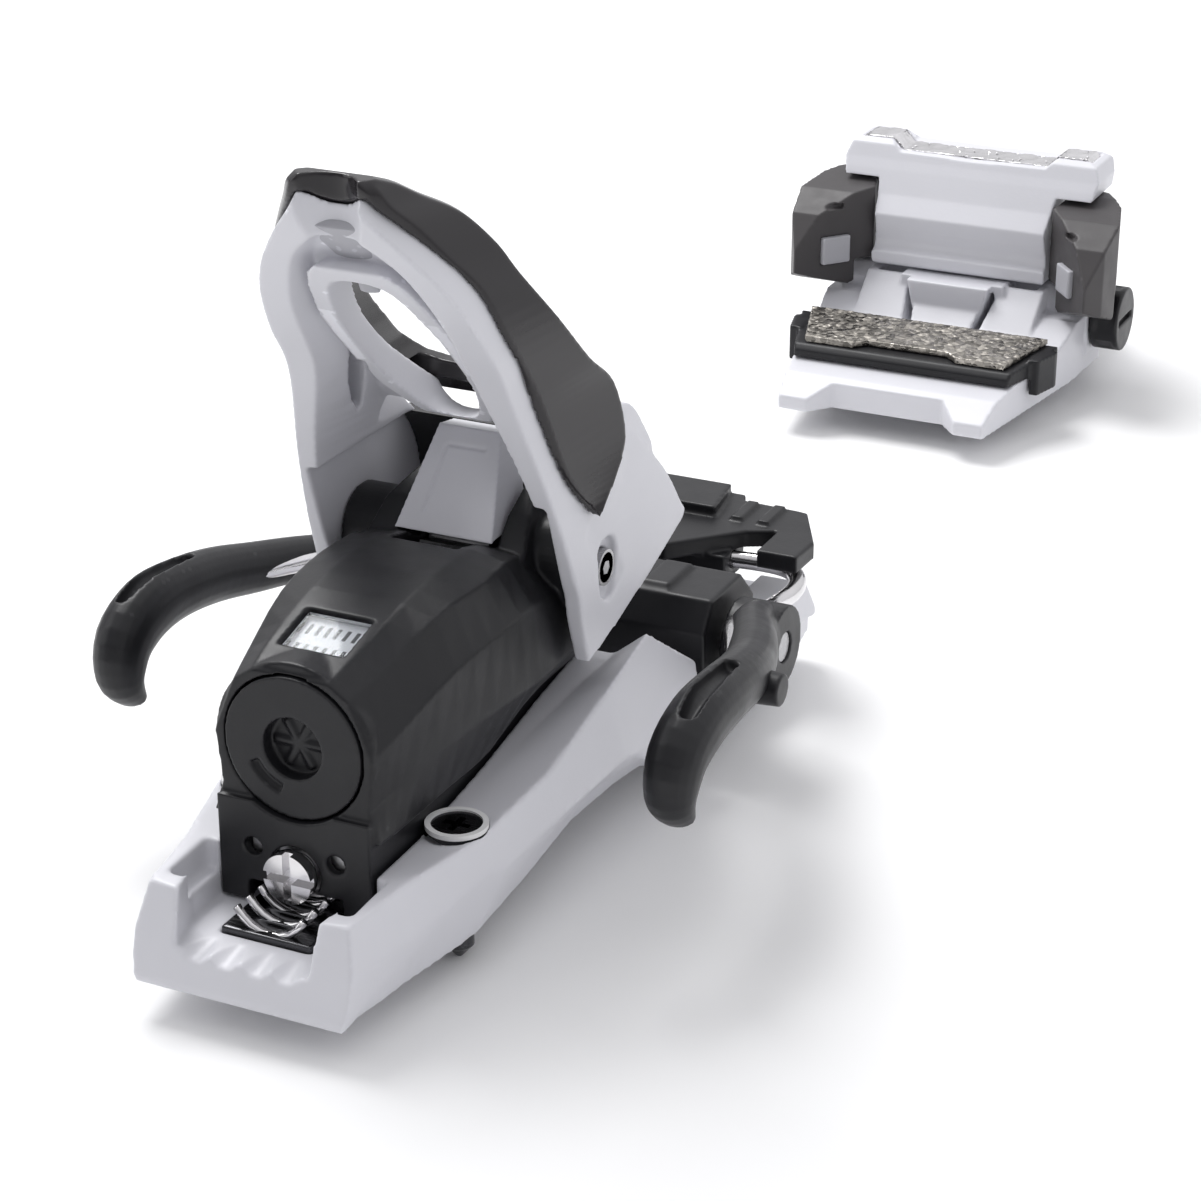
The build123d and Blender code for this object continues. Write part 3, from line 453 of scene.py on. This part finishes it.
# rim round the opening, standing in the hollow: its right half from the rear, and its side profile
RIM_HALF = [(4.0, 77.0), (11.4, 86), (13.0, 98), (12.0, 108), (7.0, 118)]
RIM_PROFILE = [(106, 70), (84, 79.5), (70, 93), (56, 107), (46, 118), (60, 126), (116, 84)]
COVER_OPENING = [(10.4, 88.5), (13.0, 97), (13.6, 105), (12.0, 111), (8.4, 116), (3, 118.5)]
UPPER_OPENING = [(4.0, 80.0), (8.4, 88), (9.5, 98), (8.6, 107), (4.8, 114.5)]
# blind leaf-shaped slot, sunk square into each side wall of the hollow
LEAF_Y, LEAF_Z = 76.0, 87.0
LEAF_LENGTH, LEAF_WIDTH, LEAF_DEPTH = 23.0, 4.0, 5.0
LEAF_TILT = 62.0    # degrees from level, leaning back as it rises
PIVOT_Y, PIVOT_Z = 90.0, 52.0
# tall oval recess round each pivot screw
PIVOT_OVAL_R, PIVOT_OVAL_RISE = 3.7, 2.4
# rounded lobe on the front of each lever arm, seen from the side as (y, z)
LOBE = [(86, 67), (86, 80), (93, 82.5), (100, 81), (106, 75), (110, 68), (100, 65)]
LOBE_INSIDE_X, LOBE_OUTSIDE_X = 24.4, 28.0


def outline_of(half, steps=4):
    """A smooth closed outline from a right-hand half outline."""
    return smooth(mirrored(half), steps, closed=True)


def hollow_half(y, z):
    """Half width of the hollow at a place on its side wall, from the two sections it lies between."""
    pairs = zip(HOLLOW_SECTIONS, HOLLOW_SECTIONS[1:])
    low, high = next(pair for pair in pairs if pair[0][0] <= z <= pair[1][0])
    rise = (z - low[0]) / (high[0] - low[0])
    back_y, back, front_y, front = [a + (b - a) * rise for a, b in zip(low[1:], high[1:])]
    return back + (front - back) * (y - back_y) / (front_y - back_y)


def leaf_slot(steps=12):
    """The left-hand slot: two shallow curves that meet in a point at each end."""
    tilt = math.radians(LEAF_TILT)
    half = hollow_half(LEAF_Y, LEAF_Z)
    closing_forward = half - hollow_half(LEAF_Y + 1, LEAF_Z)
    closing_upward = half - hollow_half(LEAF_Y, LEAF_Z + 1)
    into_wall = Vector((-1, closing_forward, closing_upward)).normalized()
    lengthways = Vector((0, -math.cos(tilt), math.sin(tilt)))
    along = (lengthways - into_wall * lengthways.dot(into_wall)).normalized()
    across = into_wall.cross(along)
    middle = Vector((-half, LEAF_Y, LEAF_Z))
    outline = []
    for i in range(2 * steps):
        turn = math.pi * i / steps
        tip = LEAF_LENGTH / 2 * math.cos(turn)
        width = LEAF_WIDTH / 2 * math.sin(turn) * abs(math.sin(turn))
        outline.append(middle + along * tip + across * width)
    rings = [[tuple(p + into_wall * reach) for p in outline] for reach in (-3.0, LEAF_DEPTH)]
    return loft(rings, HEEL)


def lever_frame():
    body = stack(LEVER_SECTIONS)
    hollow = stack(HOLLOW_SECTIONS)
    rib = rear_solid(outline_of(RIM_HALF), 30, 100, HEEL)
    rib_depth = side_solid(RIM_PROFILE, -15, 15, HEEL)
    hollow = cut(hollow, common(rib, rib_depth))
    cut(body, hollow)
    cut(body, rear_solid(outline_of(UPPER_OPENING), 20, 130, HEEL))
    cut(body, rear_solid([(-23, 20), (23, 20), (19.6, 74), (-19.6, 74)], 20, 130, HEEL))
    cut(body, side_solid([(89.2, 91), (91.6, 73), (130, 60), (130, 91)], -21, 21, HEEL))
    cut(body, side_solid([(60, 30), (84.6, 36), (123.4, 50), (130, 52), (130, 20), (60, 20)], -30, 30, HEEL))
    cut(body, block(-24.4, 24.4, 60, 130, 20, 70, HEEL))
    cut(body, rod((0, 37.6, 121), (0, 37.6, 150), 6.6, HEEL))
    cut(body, *both(leaf_slot()))
    cut(body, rod((-40, PIVOT_Y, PIVOT_Z), (40, PIVOT_Y, PIVOT_Z), 3.6, HEEL))
    for z in (PIVOT_Z - PIVOT_OVAL_RISE, PIVOT_Z, PIVOT_Z + PIVOT_OVAL_RISE):
        cut(body, *both(rod((26.4, PIVOT_Y, z), (31, PIVOT_Y, z), PIVOT_OVAL_R, HEEL)))
    # shallow scoop round the pivot screw, and the pocket that the cover's lower point sits in
    scoop = tube([(29.0, 82, 62), (29.2, 88, 55), (29.2, 93, 47)], [(1.6, 5.5), (1.5, 7.2), (1.6, 5.0)], HEEL)
    cut(body, *both(scoop))
    lobe = side_solid(smooth(LOBE, 3, closed=True), LOBE_INSIDE_X, LOBE_OUTSIDE_X, HEEL)
    body = fuse(body, *both(lobe))
    return mould(body, 0.42, 5)


def lever_cover():
    body = stack(COVER_SECTIONS, steps=5, corner=1.6)
    cut(body, stack(LEVER_SECTIONS, grow=0.3))
    cut(body, rear_solid(outline_of(COVER_OPENING), 40, 130, HEEL))
    cut(body, block(-26, 26, 60, 130, 60, 79, HEEL))
    cut(body, block(-21, 21, 60, 89.8, 58, 88.4, HEEL))
    behind = [(20, 60), (20, 133.2), (40.6, 132.0), (52, 116), (66, 98), (78, 84), (78, 60)]
    cut(body, side_solid(behind, -17, 17, HEEL))
    cut(body, rod((0, 37.6, 118), (0, 37.6, 150), 6.4, HEEL))
    return mould(body, 0.3, 8)


def pivot_screw():
    """Small screw sunk in the oval recess, with a six-sided socket."""
    head = rod((24.6, PIVOT_Y, PIVOT_Z), (27.6, PIVOT_Y, PIVOT_Z), 2.9, HEEL, count=40)
    return cut(head, rod((26.6, PIVOT_Y, PIVOT_Z), (29, PIVOT_Y, PIVOT_Z), 1.4, HEEL, count=6))


screws = fuse(*both(pivot_screw()))
piece(screws, "pivot_screws_shell", "pivot_screws", MATERIALS["steel"])
piece(lever_frame(), "lever_frame_shell", "lever_frame", MATERIALS["white_shell"])
piece(lever_cover(), "lever_cover_shell", "lever_cover", MATERIALS["smoke_shell"])


# ---------------------------------------------------------------- heel: housing and track
def ribbed(stations, steps, origin_y):
    """A smooth body through mirrored (x, z) half outlines given at each y."""
    rows = [[y] + [n for point in half for n in point] for y, half in stations]
    rings = []
    for row in smooth(rows, steps):
        y, flat = row[0], row[1:]
        half = [(flat[i], y, flat[i + 1]) for i in range(0, len(flat), 2)]
        rings.append(half + [(-x, py, z) for x, py, z in reversed(half)])
    return loft(rings, origin_y)


def heel_housing():
    stations = [
        (22.0, [(16.6, 24), (14.6, 30), (15.6, 40), (11.4, 50.5), (7.5, 53.2)]),
        (30.0, [(17.0, 24), (16.4, 32), (17.2, 43), (13.0, 52.6), (8.4, 55.4)]),
        (46.0, [(17.0, 24), (19.6, 35), (19.4, 48), (15.6, 57), (9.0, 58.8)]),
        (62.0, [(17.0, 24), (22.2, 36), (21.0, 50), (16.8, 58), (9.0, 60)]),
        (77.0, [(17.0, 28), (23.4, 36), (21.6, 50), (15.5, 57), (9.0, 58)]),
        (101.0, [(17.0, 28), (21.0, 36), (19.4, 44), (14.5, 46), (9.0, 46)]),
    ]
    body = ribbed(stations, 3, HEEL)
    fuse(body, block(-15.2, 15.2, 20.7, 101, 8.4, 28.2, HEEL))
    fuse(body, rod((0, 22.7, 39.5), (0, 34, 39.5), 15.8, HEEL, count=64))
    fuse(body, rod((-24, PIVOT_Y, PIVOT_Z), (24, PIVOT_Y, PIVOT_Z), 8.4, HEEL))
    fin = rear_solid([(10.5, 44), (20.5, 44), (17.0, 54), (15.0, 61.5), (11.4, 66), (10.5, 66)], 74, 99, HEEL)
    fin = common(fin, side_solid([(70, 40), (76, 54), (84, 62), (92, 66), (97, 60), (99, 40)], 5, 25, HEEL))
    fuse(body, *both(fin))
    cut(body, rod((0, 18, 39.5), (0, 77, 39.5), 12.5, HEEL, count=64))
    cut(body, rod((0, 18, 39.5), (0, 29, 39.5), 13.8, HEEL, count=64))
    cut(body, block(-7, 7, 70, 104, 34, 70, HEEL))
    cut(body, rod((-40, PIVOT_Y, PIVOT_Z), (40, PIVOT_Y, PIVOT_Z), 5.6, HEEL))
    cut(body, block(-9.8, 9.8, 22.6, 54, 6, 24.9, HEEL))
    cut(body, rod((0, 15, 15.8), (0, 24, 15.8), 5.1, HEEL))
    cut(body, block(-9.4, 9.4, 15, 110, 6, 12.4, HEEL))
    cut(body, *both(rod((8.3, 15, 19.2), (8.3, 22.8, 19.2), 1.8, HEEL)))
    cut(body, window_block(13.2, 10.8, -2.0, 3.0))
    return mould(body, 0.42, 3)


def window_block(width, length, low, high):
    """A block across the sloping back of the housing, between two heights over the window's line."""
    obj = block(-width / 2, width / 2, -length / 2, length / 2, low, high, 0)
    turn = Matrix.Rotation(math.radians(14), 4, "X")
    obj.data.transform(Matrix.Translation(((0, (34.9 + HEEL) * MM, 55.4 * MM))) @ turn)
    return obj


piece(heel_housing(), "heel_housing_shell", "heel_housing", MATERIALS["black_shell"])


def heel_din_cap():
    """Flush round cap: a shallow dish with a star driver, and a small sunk arc beside it."""
    body = rod((0, 21.7, 39.5), (0, 28.3, 39.5), 13.45, HEEL, count=72)
    cut(body, rod((0, 20, 39.5), (0, 24.6, 39.5), 5.8, HEEL, count=48))
    star = None
    for i in range(3):
        t = math.radians(60 * i)
        way = Vector((math.cos(t), 0, math.sin(t)))
        line = [tuple(Vector((0, 25.2, 39.5)) + way * r) for r in (-4.9, 0, 4.9)]
        bar = tube(line, [(1.2, 1.1)] * 3, HEEL, flat=(0, 1, 0))
        star = bar if star is None else fuse(star, bar)
    arc = []
    for i in range(7):
        t = math.radians(205 + 8 * i)
        arc.append((8.6 * math.cos(t), 21.7, 39.5 + 8.6 * math.sin(t)))
    cut(body, tube(arc, [(1.1, 1.2)] * 7, HEEL, count=12))
    return mould(fuse(body, star), 0.34, 2)


def lever_bridge():
    """Folded bracket that hooks under the pole notch and narrows to a short tongue."""
    # y, z and half width down the tongue
    steps = [(43.4, 127.0, 6.2), (46.6, 123.6, 5.6), (50.4, 119.6, 4.0), (54.0, 114.8, 2.4),
             (55.0, 112.0, 2.0)]
    line = smooth(steps, 4)
    body = tube([(-0.6, y, z) for y, z, w in line], [(w, 1.0) for y, z, w in line], HEEL, count=20)
    for y, z, w in ((45.0, 126.2, 5.0), (48.6, 122.6, 4.2), (52.0, 118.4, 2.8)):
        fuse(body, rod((-0.6 - w, y - 0.4, z), (-0.6 + w, y - 0.4, z), 1.0, HEEL, count=16))
    return mould(body, 0.32, 2)


piece(heel_din_cap(), "heel_din_cap_shell", "heel_din_cap", MATERIALS["black_shell"])
piece(lever_bridge(), "lever_bridge_shell", "lever_bridge", MATERIALS["grey_pad"])


# ---------------------------------------------------------------- heel: brake
def brake_pad():
    """Plastic sleeve of a brake arm: a slender arch with a hooked tip and a round hub."""
    line = [
        (57.0, 56.6, 22.6, 3.6, 2.2), (57.0, 53.6, 28.0, 4.8, 4.4), (57.2, 56.0, 34.6, 5.4, 6.2),
        (57.4, 64.0, 38.0, 5.5, 6.6), (57.2, 74.0, 38.2, 5.4, 6.0), (56.2, 86.0, 36.6, 5.2, 5.6),
        (53.8, 97.0, 34.4, 5.0, 5.2), (50.4, 107.0, 32.8, 4.8, 4.8), (46.6, 116.0, 30.6, 4.7, 5.0),
        (42.8, 124.0, 27.2, 4.7, 6.4), (40.6, 132.0, 22.6, 5.2, 8.0), (40.2, 137.0, 19.8, 5.2, 7.6),
    ]
    rows = smooth(line, 4)
    arm = tube([r[:3] for r in rows], [r[3:] for r in rows], HEEL, count=20)
    body = fuse(arm, rod((34.8, 136, 20), (45.6, 136, 20), 8.6, HEEL))
    line = [(58.2, 57, 41.4, 1.3, 2.0), (58.0, 66, 44.4, 2.0, 2.8), (57.4, 80, 43.0, 1.4, 2.0)]
    rows = smooth(line, 4)
    cut(body, tube([r[:3] for r in rows], [r[3:] for r in rows], HEEL, count=16))
    cut(body, rod((30, 136, 20), (50, 136, 20), 3.2, HEEL))
    return mould(body, 0.4, 4)


right_pad, left_pad = both(brake_pad())
piece(right_pad, "brake_pad_right_shell", "brake_pad_right", MATERIALS["black_shell"])
piece(left_pad, "brake_pad_left_shell", "brake_pad_left", MATERIALS["black_shell"])


def brake_knob():
    return mould(rod((57.0, 91, 33.5), (62.9, 91, 33.5), 3.5, HEEL, r_end=3.1), 0.3, 3)


knobs = fuse(*both(brake_knob()))
piece(knobs, "brake_knobs_shell", "brake_knobs", MATERIALS["black_shell"])


# ---------------------------------------------------------------- heel track
def side_crease():
    """Wedge under a crease that runs from below the rear screw to the back corner of the track."""
    surface = [(-6, 20.3, -1.0), (6, 22.0, 3.4), (18, 24.2, 7.6), (30, 26.4, 11.4), (38, 28.0, 13.4),
               (48, 29.6, 10.0), (62, 30.0, 5.0), (74, 30.0, -1.0)]
    rings = []
    for y, x, z in surface:
        rings.append([(x - 2.6, y, -2), (x + 8, y, -2), (x + 8, y, z), (x + 0.1, y, z)])
    return loft(rings, HEEL)


def heel_track():
    body = copy_of("heel_track")
    cut(body, *both(side_crease()))
    cut(body, *both(block(15.0, 18.2, 9, 21.5, 12.6, 30, HEEL)))
    for x in (-9.5, -3.5, 3.0, 9.0):
        cut(body, rod((x, -4, 8.0), (x * 0.9, 9.5, 11.2), 3.2, HEEL))
    spur = tube([(33.5, 96, 12), (31.0, 86, 18), (27.5, 70, 21.0), (26.6, 56, 20.0)],
                [(1.6, 1.6), (1.5, 1.6), (1.1, 1.4), (0.4, 0.5)], HEEL, count=12)
    fuse(body, *both(spur))
    return mould(body, 0.5, 7)


piece(heel_track(), "heel_track_shell", "heel_track", MATERIALS["white_shell"])


def rack_bed():
    body = copy_of("heel_rack")
    return mould(common(body, block(-12, 12, 5, 110, 0, 8.6, HEEL)), 0.4, 2)


def rack_teeth():
    """The curved tooth crests that show behind the adjusting screw."""
    crests = None
    for y in (11.2, 15.2, 19.2, 23.2, 27.2):
        arc = []
        for i in range(9):
            t = math.radians(-62 + 124 * i / 8)
            arc.append((7.6 * math.sin(t), y + 0.9, 15.8 - 7.9 * math.cos(t)))
        crest = tube(arc, [(0.85, 0.7)] * len(arc), HEEL, count=12, flat=(0, 1, 0))
        crests = crest if crests is None else fuse(crests, crest)
    return crests


piece(rack_bed(), "heel_rack_bed", "heel_rack", MATERIALS["dark_steel"])
piece(rack_teeth(), "heel_rack_crests", "heel_rack", MATERIALS["bright_steel"])


def screw_rings(spots, origin_y):
    """Bright washers' rims round the mounting screws' heads."""
    rings = None
    for x, y, z in spots:
        hole = rod((x, y, z - 1), (x, y, z + 2), 4.7, origin_y)
        ring = cut(rod((x, y, z), (x, y, z + 0.9), 5.75, origin_y, count=48), hole)
        rings = ring if rings is None else fuse(rings, ring)
    return rings


heel_spots = [(x, y, z) for x in (-21, 21) for y, z in ((41.7, 19.7), (131.7, 7.2))]
toe_spots = [(x, y, z) for x in (-21, 21) for y, z in ((26.0, 8.2), (104.0, 11.2))]
SCREW_SETS = (
    ("heel", heel_spots, HEEL, "heel_mounting_screws"),
    ("toe", toe_spots, TOE, "toe_mounting_screws"),
)
for name, spots, origin_y, node in SCREW_SETS:
    rings = screw_rings(spots, origin_y)
    rings.name = name + "_screw_rings"
    rings.data.materials.append(MATERIALS["bright_steel"])
    for polygon in rings.data.polygons:
        polygon.use_smooth = False
    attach(rings, "ski_base")


# ---------------------------------------------------------------- spine between the lever's arms
def heel_spine():
    """Leaning white block with a thin engraved outline on its sloping back."""
    body = copy_of("heel_spine")
    a, b = Vector((0, 77.6, 58.2)), Vector((0, 89.4, 75.4))
    along = (b - a).normalized()

    def on_face(x, t):
        return (x, a.y + along.y * t, a.z + along.z * t)

    engraving = [on_face(-5.2, 3.5), on_face(-3.9, 17.2), on_face(4.4, 17.2)]
    for start, end in zip(engraving, engraving[1:]):
        cut(body, rod(start, end, 0.42, HEEL, count=12))
    return mould(body, 0.28, 2)


piece(heel_spine(), "heel_spine_shell", "heel_spine", MATERIALS["white_shell"])


# ---------------------------------------------------------------- toe piece
def toe_housing():
    """White head: raised ears, leaning upper face, undercut lower face with a seam, and a bottom lip."""
    side = [(59.0, 23.4), (57.8, 24.2), (57.6, 27.2), (59.4, 28.2), (59.6, 30.4), (58.0, 36.0),
            (57.4, 37.6), (61.0, 42.5), (64.0, 48.5), (65.4, 51.0), (67.0, 54.6), (70.0, 56.6),
            (80, 56.0), (94, 44), (104, 28), (104, 23.4)]
    half = [(23.4, 22), (24.6, 25), (23.8, 36.5), (25.0, 46.4), (34.8, 46.4), (35.8, 51.0),
            (34.4, 54.8), (31.5, 56.2), (23.5, 56.2), (20.5, 53.2), (0, 52.8)]
    body = common(side_solid(side, -40, 40, TOE), rear_solid(mirrored(half), 50, 110, TOE))
    nose = plan_solid([(24, 112), (24, 100), (36, 80), (44, 80), (44, 112)], 20, 62, TOE)
    cut(body, *both(nose))
    cut(body, rear_solid(mirrored([(20.5, 52.0), (23.5, 55.0), (32.6, 55.0), (33.0, 60)]), 69, 79, TOE))
    cut(body, block(-22.6, 22.6, 56, 58.9, 33.2, 33.7, TOE))
    cut(body, *both(rod((31, 71, 20), (31, 71, 50), 2.6, TOE)))
    bevel = side_solid([(50, 36), (62.6, 49.5), (68, 60), (50, 60)], 33.2, 40, TOE)
    cut(body, *both(bevel))
    return mould(body, 0.36, 3)


def wing_frame(body):
    """Turns a solid drawn about the right jaw's contact pad into its place on the jaw."""
    turn = Matrix.Rotation(math.radians(-51.3), 4, "Z")
    place = Matrix.Translation((33.2 * MM, (51.4 + TOE) * MM, 28.2 * MM)) @ turn
    body.data.transform(place)
    return body


def toe_wing():
    body = copy_of("toe_wing_right")
    cut(body, wing_frame(block(-4.0, 4.0, -3.0, -1.2, 6.4, 13.2, 0)))
    cut(body, wing_frame(block(-2.6, 2.6, -3.0, 0.8, 11.2, 12.6, 0)))
    cut(body, wing_frame(block(-4.6, 4.6, -3.0, -1.3, -4.2, 4.2, 0)))
    return mould(body, 0.36, 2)


def toe_base():
    body = copy_of("toe_base")
    tongue_outline = mirrored([(11.5, 22.8), (10.0, 16), (7.6, 9.6)])
    tongue = rear_solid(tongue_outline, 50.4, 60.6, TOE)
    flank = rear_solid([(11.6, 22.9), (14.5, 22.9), (14.5, 19.0), (12.2, 19.0)], 54.4, 60.6, TOE)
    cut(body, *both(block(14.6, 22.4, 58.4, 64, 18.6, 24, TOE)))
    cut(body, *both(rear_solid([(10.6, 24), (13.6, 24), (10.0, 9.4), (8.0, 9.4)], 45.0, 59.5, TOE)))
    fuse(body, tongue, *both(flank))
    return mould(body, 0.42, 3)


piece(toe_housing(), "toe_housing_shell", "toe_housing", MATERIALS["white_shell"])
piece(toe_base(), "toe_base_shell", "toe_base", MATERIALS["white_shell"])
right_wing, left_wing = both(toe_wing())
piece(right_wing, "toe_wing_right_shell", "toe_wing_right", MATERIALS["dark_grey_shell"])
piece(left_wing, "toe_wing_left_shell", "toe_wing_left", MATERIALS["dark_grey_shell"])


def crushed(node, voxel, height, cell):
    """The node's shape with a broken-crystal relief on its upper faces."""
    body = mould(copy_of(node), voxel, 1)
    for v in body.data.vertices:
        if v.normal.z > 0.35 or v.normal.y < -0.6:
            spots = noise.voronoi(v.co / (cell * MM))[0]
            v.co += v.normal * (min(spots[0], 0.8) - 0.8) * height * MM
    return body


# node, depth of the relief, size of its crystals, material
RELIEFS = (
    ("toe_top_insert", 0.9, 3.2, "bright_steel"),
    ("afd_plate", 0.3, 1.3, "textured_steel"),
)
for node_name, height, cell, material_name in RELIEFS:
    plate = crushed(node_name, 0.3, height, cell)
    piece(plate, node_name + "_shell", node_name, MATERIALS[material_name])


# ---------------------------------------------------------------- mouldings that keep the frame's shape
def softened(node, voxel=0.42, relax=3):
    """The node's own shape with the rounded edges of a moulding."""
    return mould(copy_of(node), voxel, relax)


for node_name in ("heel_cup", "brake_base", "brake_pedal", "wing_pad_right", "wing_pad_left", "afd_carrier",
                  "toe_din_cap"):
    piece(softened(node_name), node_name + "_shell", node_name, MATERIALS[SLOT_OF[node_name]])


# ---------------------------------------------------------------- CAD nodes that show as they are
def carry_over(node, obj):
    """Gives a CAD node its procedural material and softened edges."""
    obj.data.materials.clear()
    obj.data.materials.append(MATERIALS[SLOT_OF[node]])
    bevel = obj.modifiers.new("soft_edges", "BEVEL")
    bevel.width = 0.22 * MM
    bevel.segments = 2
    bevel.limit_method = "ANGLE"
    bevel.angle_limit = math.radians(40)
    bevel.use_clamp_overlap = True


for node_name, node_object in frame["nodes"].items():
    if node_name not in REPLACED:
        carry_over(node_name, node_object)


# ---------------------------------------------------------------- floor, light and camera
def floor():
    half = 6.0
    mesh = bpy.data.meshes.new("floor")
    corners = [(-half, -half), (half, -half), (half, half), (-half, half)]
    mesh.from_pydata([(x, y, SCREW_TIP_Z) for x, y in corners], [], [(0, 1, 2, 3)])
    obj = new_object("floor", mesh)
    mat, tree, shader = node_tree("pale_floor")
    tone = tinted(tree, spread(tree, noise_field(tree, 3.0), 0, 1), (0.90, 0.90, 0.90), (0.92, 0.92, 0.92))
    tree.links.new(tone, shader.inputs["Base Color"])
    shader.inputs["Roughness"].default_value = 0.9
    shader.inputs["Specular IOR Level"].default_value = 0.1
    mesh.materials.append(mat)


def softbox(name, place, target, width, height, watts):
    data = bpy.data.lights.new(name, "AREA")
    data.shape = "RECTANGLE"
    data.size = width
    data.size_y = height
    data.energy = watts
    obj = bpy.data.objects.new(name, data)
    bpy.context.scene.collection.objects.link(obj)
    obj.location = place
    obj.rotation_euler = (Vector(target) - Vector(place)).to_track_quat("-Z", "Y").to_euler()


def studio_world():
    """White to the camera; a soft dark-to-light dome to everything that reflects it."""
    world = bpy.data.worlds.new("studio")
    bpy.context.scene.world = world
    world.use_nodes = True
    tree = world.node_tree
    tree.nodes.clear()
    place = add(tree, "ShaderNodeTexCoord")
    facing = add(tree, "ShaderNodeVectorMath", operation="DOT_PRODUCT")
    tree.links.new(place.outputs["Generated"], facing.inputs[0])
    facing.inputs[1].default_value = (0.30, 0.50, 0.81)
    height = spread(tree, facing.outputs["Value"], 0, 1, -0.6, 0.95)
    dome = tinted(tree, height, (0.10, 0.10, 0.11), (0.98, 0.98, 1.0))
    path = add(tree, "ShaderNodeLightPath")
    seen = add(tree, "ShaderNodeMix", data_type="RGBA")
    tree.links.new(path.outputs["Is Camera Ray"], seen.inputs["Factor"])
    tree.links.new(dome, seen.inputs[6])
    seen.inputs[7].default_value = (1, 1, 1, 1)
    back = add(tree, "ShaderNodeBackground")
    tree.links.new(seen.outputs[2], back.inputs["Color"])
    out = add(tree, "ShaderNodeOutputWorld")
    tree.links.new(back.outputs["Background"], out.inputs["Surface"])


# the camera's angles in degrees, its place in metres and its focal length in millimetres
CAMERA_AZIMUTH, CAMERA_ELEVATION = 25.2, 23.9
CAMERA_PLACE = (0.243, -0.457, 0.2705)
CAMERA_LENS = 89.5


def camera():
    """The viewing angle of the reference: from behind, round to the right and above."""
    azimuth, elevation = math.radians(CAMERA_AZIMUTH), math.radians(CAMERA_ELEVATION)
    data = bpy.data.cameras.new("camera")
    data.sensor_width = 36.0
    data.lens = CAMERA_LENS
    data.clip_start, data.clip_end = 0.02, 30.0
    obj = bpy.data.objects.new("camera", data)
    bpy.context.scene.collection.objects.link(obj)
    level = math.cos(elevation)
    back = Vector((math.sin(azimuth) * level, -math.cos(azimuth) * level, math.sin(elevation)))
    right = Vector((math.cos(azimuth), math.sin(azimuth), 0))
    up = back.cross(right)
    turn = Matrix((right, up, back)).transposed()
    obj.matrix_world = Matrix.Translation(CAMERA_PLACE) @ turn.to_4x4()
    bpy.context.scene.camera = obj


floor()
softbox("key", (-0.55, 0.40, 1.05), (0, 0.15, 0), 0.6, 0.6, 11.0)
softbox("rim", (-0.9, -0.35, 0.5), (0, 0.05, 0.05), 0.5, 0.8, 1.6)
studio_world()
camera()
bpy.context.scene.view_settings.view_transform = "Standard"
